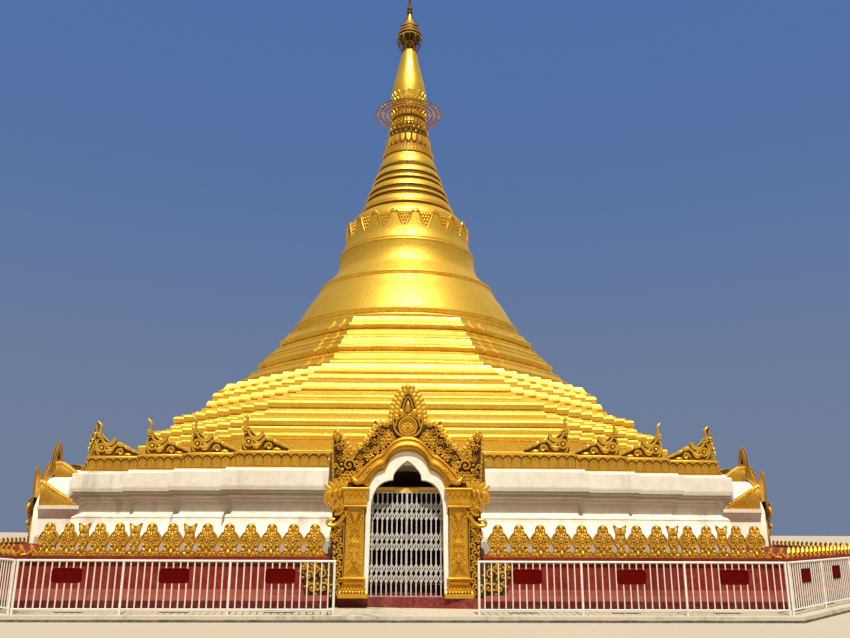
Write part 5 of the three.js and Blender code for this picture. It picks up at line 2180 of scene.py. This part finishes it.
            work.tube(points, [thick * share for share in shares], 7)
        work.vine(spiral((1.235, 1.93), 0.07, 1.25, 80, -1, 12), plane + 0.075, (0.024, 0.016), 6)
        work.ball((1.235, -plane - 0.085, 1.93), 0.018)
        work.vine(curve((1.3, 1.9), (1.4, 1.92), (1.42, 1.8), 5), plane + 0.065, (0.034, 0.02), 6)
        work.vine(curve((1.22, 1.86), (1.27, 1.74), (1.37, 1.78), 5), plane + 0.065, (0.036, 0.026), 6)
        work.vine([(1.17, 1.84), (1.15, 1.76), (1.19, 1.72)], plane + 0.045, (0.036, 0.03), 6)
        hook = [
            *curve((1.19, 1.77), (1.27, 1.58), (1.39, 1.575), 6),
            *arc((1.39, 1.575), (1.52, 1.57), (1.495, 1.64), 5),
            *arc((1.495, 1.64), (1.47, 1.7), (1.36, 1.685), 4),
        ]
        count = len(hook) - 1
        radii = [0.046 - 0.018 * i / count for i in range(count + 1)]
        work.tube([Vector((x, -plane - 0.05, z)) for x, z in hook], radii, 8)
        for i in range(4):
            work.stamp(self.carvings.leaf, put(1.19 + 0.05 * i, 1.66, plane, 0.13, -150 - 12 * i))
        # Painted shade: the bracket is darker the further back it lies
        work.mark(lambda co: (-co.y - self.plane - 0.03) / 0.09)
        return work.mesh("bracket", 50)

    def _wing(self) -> bpy.types.Mesh:
        """Builds the right leaf scroll on the plinth wall beside the gate."""
        work = Work()
        outline = [
            (1.36, 0.34), (1.84, 0.34), (1.88, 0.44), (1.84, 0.52), (1.91, 0.62), (1.9, 0.72),
            (1.98, 0.8), (1.96, 0.9), (1.84, 0.89), (1.36, 0.89),
        ]
        work.plate(outline, self.wall - 0.01, [(0.0, self.wall + 0.03)])
        # Painted shade: the backing plate behind the scrolls is marked as a recess and comes out dark
        work.mark(lambda co: 0.0)
        carving = Work()
        front = self.wall + 0.055
        for x, z, radius, angle, hand in (
            (1.52, 0.47, 0.1, 200, -1),
            (1.73, 0.46, 0.09, 20, 1),
            (1.56, 0.71, 0.095, 20, 1),
            (1.79, 0.68, 0.085, 200, -1),
            (1.9, 0.83, 0.06, 100, 1),
            (1.67, 0.84, 0.05, 100, -1),
        ):
            carving.vine(spiral((x, z), radius, 1.3, angle, hand, 13), front, (0.024, 0.014), 6)
            carving.ball((x, -front - 0.01, z), 0.022)
            for i in range(6):
                turn = math.radians(angle + hand * 45 * i)
                foot = (x + radius * math.cos(turn), z + radius * math.sin(turn))
                lean = math.degrees(turn) - 90 - 25 * hand
                carving.stamp(self.carvings.leaf, put(*foot, self.wall + 0.025, 0.085, lean))
        # Painted shade: the carving is darker the further back it lies
        carving.mark(lambda co: (-co.y - self.wall - 0.03) / 0.04)
        work.stamp(carving.mesh("wing_carving", 50))
        return work.mesh("wing", 50)

    def _medallion(self) -> bpy.types.Mesh:
        """Builds the flower medallion over the hood, the horseshoe round it, and the drop above."""
        work = Work()
        level, front = self.medallion, self.plane + 0.06
        for radius, thick, out in ((0.168, 0.026, 0.02), (0.126, 0.012, 0.025)):
            work.vine(circle((0.0, level), radius, 32, closed=True), front + out, (thick, thick), 6)
        work.pillow(circle((0.0, level), 0.17, 24), self.plane, front + 0.015, [(1.0, 0.9), (0.6, 1.0)])
        work.stamp(self.carvings.rosette, put(0, level - 0.01, front + 0.012, 0.16))
        for template, count, radius, size in (
            (self.carvings.leaf, 13, 0.08, 0.05),
            (self.carvings.gem, 20, 0.147, 0.032),
        ):
            for i in range(count):
                turn = math.tau * i / count
                x, z = radius * math.sin(turn), level + radius * math.cos(turn)
                work.stamp(template, put(x, z, front + 0.012, size, -math.degrees(turn)))
        for hand in HANDS:
            shoe = [
                *curve((0.0, 3.255), (hand * 0.24, 3.25), (hand * 0.275, 3.47), 8),
                *arc((hand * 0.275, 3.47), (hand * 0.31, 3.62), (hand * 0.265, 3.72), 5),
            ]
            work.vine(shoe, front + 0.005, (0.03, 0.02), 6)
            wreath = curve((hand * 0.235, 3.45), (hand * 0.235, 3.66), (0.0, 3.665), 7)
            work.vine(wreath, front + 0.0, (0.024, 0.02), 6)
        drop = [(0.0, 4.0), (-0.028, 3.93), (-0.058, 3.84), (-0.072, 3.78), (-0.055, 3.725), (0.0, 3.7)]
        drop += [(-x, z) for x, z in drop[-2:0:-1]]
        work.pillow(drop, self.plane, front + 0.075, [(0.95, 0.6), (0.6, 0.92), (0.15, 1.0)])
        for hand in HANDS:
            rim = curve((hand * 0.012, 4.045), (hand * 0.185, 3.7), (0.0, 3.675), 8)
            work.vine(rim, front + 0.01, (0.018, 0.022), 5)
        # Painted shade: the medallion is darker the further back it lies
        work.mark(lambda co: (-co.y - self.plane - 0.06) / 0.04)
        return work.mesh("medallion", 45)

    def _leaves(self) -> bpy.types.Mesh:
        """Builds the two closed folding leaves: upright channels with bands of crossed bars between them."""
        work = Work()
        step = 2 * self.grille_half / self.grille_spaces
        low, high = 0.285, 2.19
        for i in range(self.grille_spaces + 1):
            wide = 0.02 if i == self.grille_spaces // 2 else 0.0115
            x = -self.grille_half + i * step
            work.block((x - wide, -self.grille_front, low), (x + wide, -self.grille_back, high))
        for bottom in (0.52, 1.1, 1.67):
            for first in range(-1, self.grille_spaces):
                for hand in reversed(HANDS):
                    self._cross(work, first, hand, bottom)
        work.block((-0.79, -11.596, 2.185), (0.79, -11.568, 2.205))
        work.block((-0.79, -11.594, 0.2803), (0.79, -11.57, 0.292))
        return work.mesh("folding_gate", 30)

    def _cross(self, work: Work, first: int, hand: int, bottom: float, rise: float = 0.175) -> None:
        """Adds one crossed bar over two spaces, or over one at an edge."""
        step = 2 * self.grille_half / self.grille_spaces
        spaces = (max(first, 0), min(first + 2, self.grille_spaces))
        heights = [bottom + (space - first) * rise for space in spaces]
        if hand < 0:
            heights = [2 * bottom + 2 * rise - height for height in heights]
        path = [(-self.grille_half + space * step, height) for space, height in zip(spaces, heights)]
        section = [(-0.0105, -0.002), (0.0105, -0.002), (0.0105, 0.002), (-0.0105, 0.002)]
        work.band(path, section, self.cross_planes[hand > 0])

    def _lintel(self) -> bpy.types.Mesh:
        """Builds the beam over the folding leaves, with a short board in its middle."""
        work = Work()
        work.block((-0.93, -11.56, 2.195), (0.93, -11.47, 2.3))
        board = [(-0.258, 2.205), (0.258, 2.205), (0.215, 2.285), (-0.215, 2.285)]
        work.plate(board, 11.555, [(0.0, 11.588), (0.006, 11.594)])
        return work.mesh("lintel", 30)


@dataclass
class Porches:
    """The white porches behind the gates, with gilded flounce boards along their two roof tiers."""

    finishes: Finishes
    carvings: Carvings
    back: float = 9.4403
    front: float = 11.5995
    roof_back: float = 9.84
    passage: float = 0.95
    outside: float = 1.43
    vault_foot: float = 2.3

    def build(self) -> None:
        """Builds the porch once and shows a copy on every side."""
        walls = Dress(self.finishes.lime, "limewash", ("{}_porch",))
        edges = Dress(self.finishes.frieze, "frieze_gold")
        shell, boards = self._shell(), self._boards()
        for side in Side:
            walls.show_turned("white_{}_porch", shell, (side,))
            edges.show_turned("{}_porch_flounces", boards, (side,))

    def _shell(self) -> bpy.types.Mesh:
        """Builds the moulded walls and the curved roof over the vaulted passage."""
        work = Work()
        for hand in HANDS:
            low, high = KERB_TOP, self.vault_foot
            wall = [(self.passage, low), (self.outside, low), (self.outside, high), (self.passage, high)]
            self._run(work, wall, self.back, self.front, hand)
            outside = [
                (1.4, 1.0), (1.5, 1.0), (1.5, 1.2), (1.47, 1.24), (1.445, 1.33), (1.44, 1.86), (1.46, 1.87),
                (1.46, 1.91), (1.49, 1.93), (1.49, 1.97), (1.53, 2.0), (1.53, 2.04), (1.4, 2.04),
            ]
            self._run(work, outside, self.roof_back, self.front, hand)
        eaves = [
            (1.6, 2.045), (1.6, 2.14), (1.5, 2.155), *curve((1.42, 2.26), (1.1, 2.42), (0.92, 2.84), 6),
            (0.86, 2.86), *curve((0.84, 2.91), (0.62, 3.2), (0.0, 3.36), 6),
        ]
        vault = [(self.passage, 2.045), *curve((self.passage, self.vault_foot), (0.86, 2.7), (0.0, 2.73), 8)]
        outline = [*eaves, *flip(eaves[:-1]), *[(-x, z) for x, z in vault[:-1]], *vault[::-1]]
        self._run(work, outline, self.roof_back, self.front, 1)
        return work.mesh("porch", 30)

    def _run(self, work: Work, section: Sequence[Pair], near: float, far: float, hand: int) -> None:
        """Runs an upright section between two distances in front of the centre."""
        work.shell([[Vector((hand * x, -d, z)) for x, z in section] for d in (near, far)])

    def _boards(self) -> bpy.types.Mesh:
        """Builds the flounce boards of both tiers, each with a row of licking leaves along its top."""
        work = Work()
        lower = [
            (10.2, 2.25), (10.37, 2.3), (10.59, 2.4), (10.88, 2.55), (11.13, 2.7), (11.375, 2.84),
            (11.59, 2.96),
        ]
        upper = [(10.75, 3.22), (10.92, 3.32), (11.1, 3.44), (11.31, 3.57), (11.43, 3.6), (11.585, 3.6)]
        for hand in HANDS:
            self._board(work, lower, 2.145, 1.535, 0.12, hand)
            self._board(work, upper, 2.92, 0.66, 0.1, hand)
        return work.mesh("boards", 45)

    def _board(
        self, work: Work, top: Sequence[Pair], foot: float, plane: float, size: float, hand: int
    ) -> None:
        """Adds one board.

        Args:
            work: The mesh to add to.
            top: [distance, height] points of its upper edge.
            foot: Height of its lower edge.
            plane: Distance of its outer face from the middle.
            size: Height of the leaves along its edge.
            hand: 1 for the right board, -1 for the left.
        """
        board = Work()
        edge = [(-hand * d, z) for d, z in top]
        outline = [(edge[0][0], foot), *edge, (edge[-1][0], foot)]
        board.plate(outline, plane - 0.035, [(0.0, plane - 0.006), (0.006, plane)])
        for drop, thick in ((size * 1.05, 0.012), (0.005, 0.012)):
            board.vine([(x, max(z - drop, foot + 0.02)) for x, z in edge], plane, (thick, thick), 4)
        length = abs(edge[-1][0] - edge[0][0])
        count = round(length / (size * 0.62))
        for i in range(count):
            x = edge[0][0] + (edge[-1][0] - edge[0][0]) * (i + 0.5) / count
            z = self._level(edge, x)
            board.stamp(
                self.carvings.flame, put(x, max(z - size, foot), plane - 0.004, size * 1.12, 25 * hand, hand)
            )
        for i in range(round(count * 0.8)):
            x = edge[0][0] + (edge[-1][0] - edge[0][0]) * (i + 1.2) / (count * 0.85)
            rise = self._level(edge, x) - size * 1.15 - foot - 0.03
            if rise > 0.05:
                pull = (x - hand * 0.1 * rise, foot + 0.6 * rise)
                end = (x + hand * 0.2 * rise, foot + rise)
                board.vine(curve((x, foot + 0.025), pull, end, 3), plane, (0.014, 0.008), 4)
        # Painted shade: the board is darker the further back it lies
        board.mark(lambda co: (-co.y - plane + 0.012) / 0.02)
        work.stamp(board.mesh("board", 45), Matrix.Rotation(hand * QUARTER, 4, "Z"))

    def _level(self, edge: Sequence[Pair], x: float) -> float:
        """Finds the height of an edge at a place along it."""
        for (ax, az), (bx, bz) in zip(edge, edge[1:]):
            if min(ax, bx) <= x <= max(ax, bx):
                return az + (bz - az) * (x - ax) / (bx - ax)
        return edge[-1][1]


@dataclass
class Studio:
    """The pale floor, the soft light and the camera."""

    eye: tuple[float, float, float] = (-0.12, -27.0, 1.55)
    lens: float = 32.65
    pitch: float = 15.1
    yaw: float = 1.69
    roll: float = 0.27
    floor_size: float = 150.0
    sun_azimuth: float = 5.0
    sun_elevation: float = 62.0
    sun_power: float = 5.3
    fill_power: float = 0.2
    world_power: float = 0.19
    sky_low: Colour = rgb(0.165, 0.215, 0.315)
    sky_high: Colour = rgb(0.08, 0.162, 0.385)

    def build(self) -> None:
        """Sets up the camera, the floor and the lights."""
        self._camera()
        self._floor()
        self._lights()

    def _camera(self) -> None:
        """Puts the camera where the photograph was taken from."""
        data = bpy.data.cameras.new("camera")
        data.lens = self.lens
        data.clip_end = 500.0
        camera = bpy.data.objects.new("camera", data)
        bpy.context.scene.collection.objects.link(camera)
        turn = Matrix.Rotation(math.radians(-self.yaw), 4, "Z")
        turn = turn @ Matrix.Rotation(math.radians(90 + self.pitch), 4, "X")
        turn = turn @ Matrix.Rotation(math.radians(self.roll), 4, "Z")
        camera.matrix_world = Matrix.Translation(self.eye) @ turn
        bpy.context.scene.camera = camera
        bpy.context.scene.view_settings.view_transform = "Standard"

    def _floor(self) -> None:
        """Lays the pale floor."""
        sheet = bmesh.new()
        bmesh.ops.create_grid(sheet, x_segments=1, y_segments=1, size=self.floor_size)
        mesh = bpy.data.meshes.new("floor")
        sheet.to_mesh(mesh)
        sheet.free()
        floor = bpy.data.objects.new("floor", mesh)
        material, tree, shader = new_material("studio_floor", rgb(0.46, 0.41, 0.32))
        tint = tree.mix(tree.noise(tree.place(), 0.3, 1), rgb(0.44, 0.39, 0.3), rgb(0.48, 0.425, 0.33))
        tree.give(shader, {"Base Color": tint, "Roughness": 0.8})
        mesh.materials.append(material)
        bpy.context.scene.collection.objects.link(floor)

    def _lights(self) -> None:
        """Sets a key sun from the front, a faint fill from behind and a pale sky."""
        self._sun("key", self.sun_azimuth, self.sun_elevation, self.sun_power, 2.0, (1.0, 0.94, 0.82))
        self._sun("fill", 160.0, 40.0, self.fill_power, 60.0, (1.0, 0.96, 0.9))
        world = bpy.data.worlds.new("sky")
        world.use_nodes = True
        tree = Tree(world.node_tree)
        soft = world.node_tree.nodes["Background"]
        tree.give(soft, {"Color": rgb(0.94, 0.96, 1.0), "Strength": self.world_power})
        height = tree.add("SeparateXYZ", {0: tree.add("TexCoord").outputs["Generated"]}).outputs["Z"]
        tint = tree.mix(tree.ramp(height, 0.0, 0.6), self.sky_low, self.sky_high)
        seen = tree.add("Background", {"Color": tint})
        share = tree.add("LightPath").outputs["Is Camera Ray"]
        both = tree.add("MixShader", {0: share, 1: soft.outputs[0], 2: seen.outputs[0]})
        tree.give(world.node_tree.nodes["World Output"], {"Surface": both.outputs[0]})
        bpy.context.scene.world = world

    def _sun(
        self, name: str, azimuth: float, elevation: float, power: float, soft: float, colour: Sequence[float]
    ) -> None:
        """Adds a sun.

        Args:
            name: Its name.
            azimuth: Degrees round from the front towards +X.
            elevation: Degrees over the horizon.
            power: Its strength.
            soft: Its angular size in degrees.
            colour: Its colour.
        """
        data = bpy.data.lights.new(name, "SUN")
        data.energy = power
        data.angle = math.radians(soft)
        data.color = colour
        lamp = bpy.data.objects.new(name, data)
        bpy.context.scene.collection.objects.link(lamp)
        around, up = math.radians(azimuth), math.radians(elevation)
        towards = Vector((math.sin(around) * math.cos(up), -math.cos(around) * math.cos(up), math.sin(up)))
        lamp.rotation_euler = towards.to_track_quat("Z", "Y").to_euler()


def main() -> None:
    """Loads the frame and dresses it, sub-assembly by sub-assembly."""
    logging.basicConfig(level=logging.INFO, format="%(name)s %(message)s")
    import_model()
    Studio().build()
    finishes = Finishes(Effects())
    for assembly in (GroundWorks, WhiteBase, Terraces, Octagons, Bell, Spire, Fence, Frieze):
        assembly(finishes).build()
        LOG.info("%s is done", assembly.__name__)
    carvings = Carvings()
    for assembly in (Merlons, Gate, Porches):
        assembly(finishes, carvings).build()
        LOG.info("%s is done", assembly.__name__)


if __name__ == "__main__":
    main()
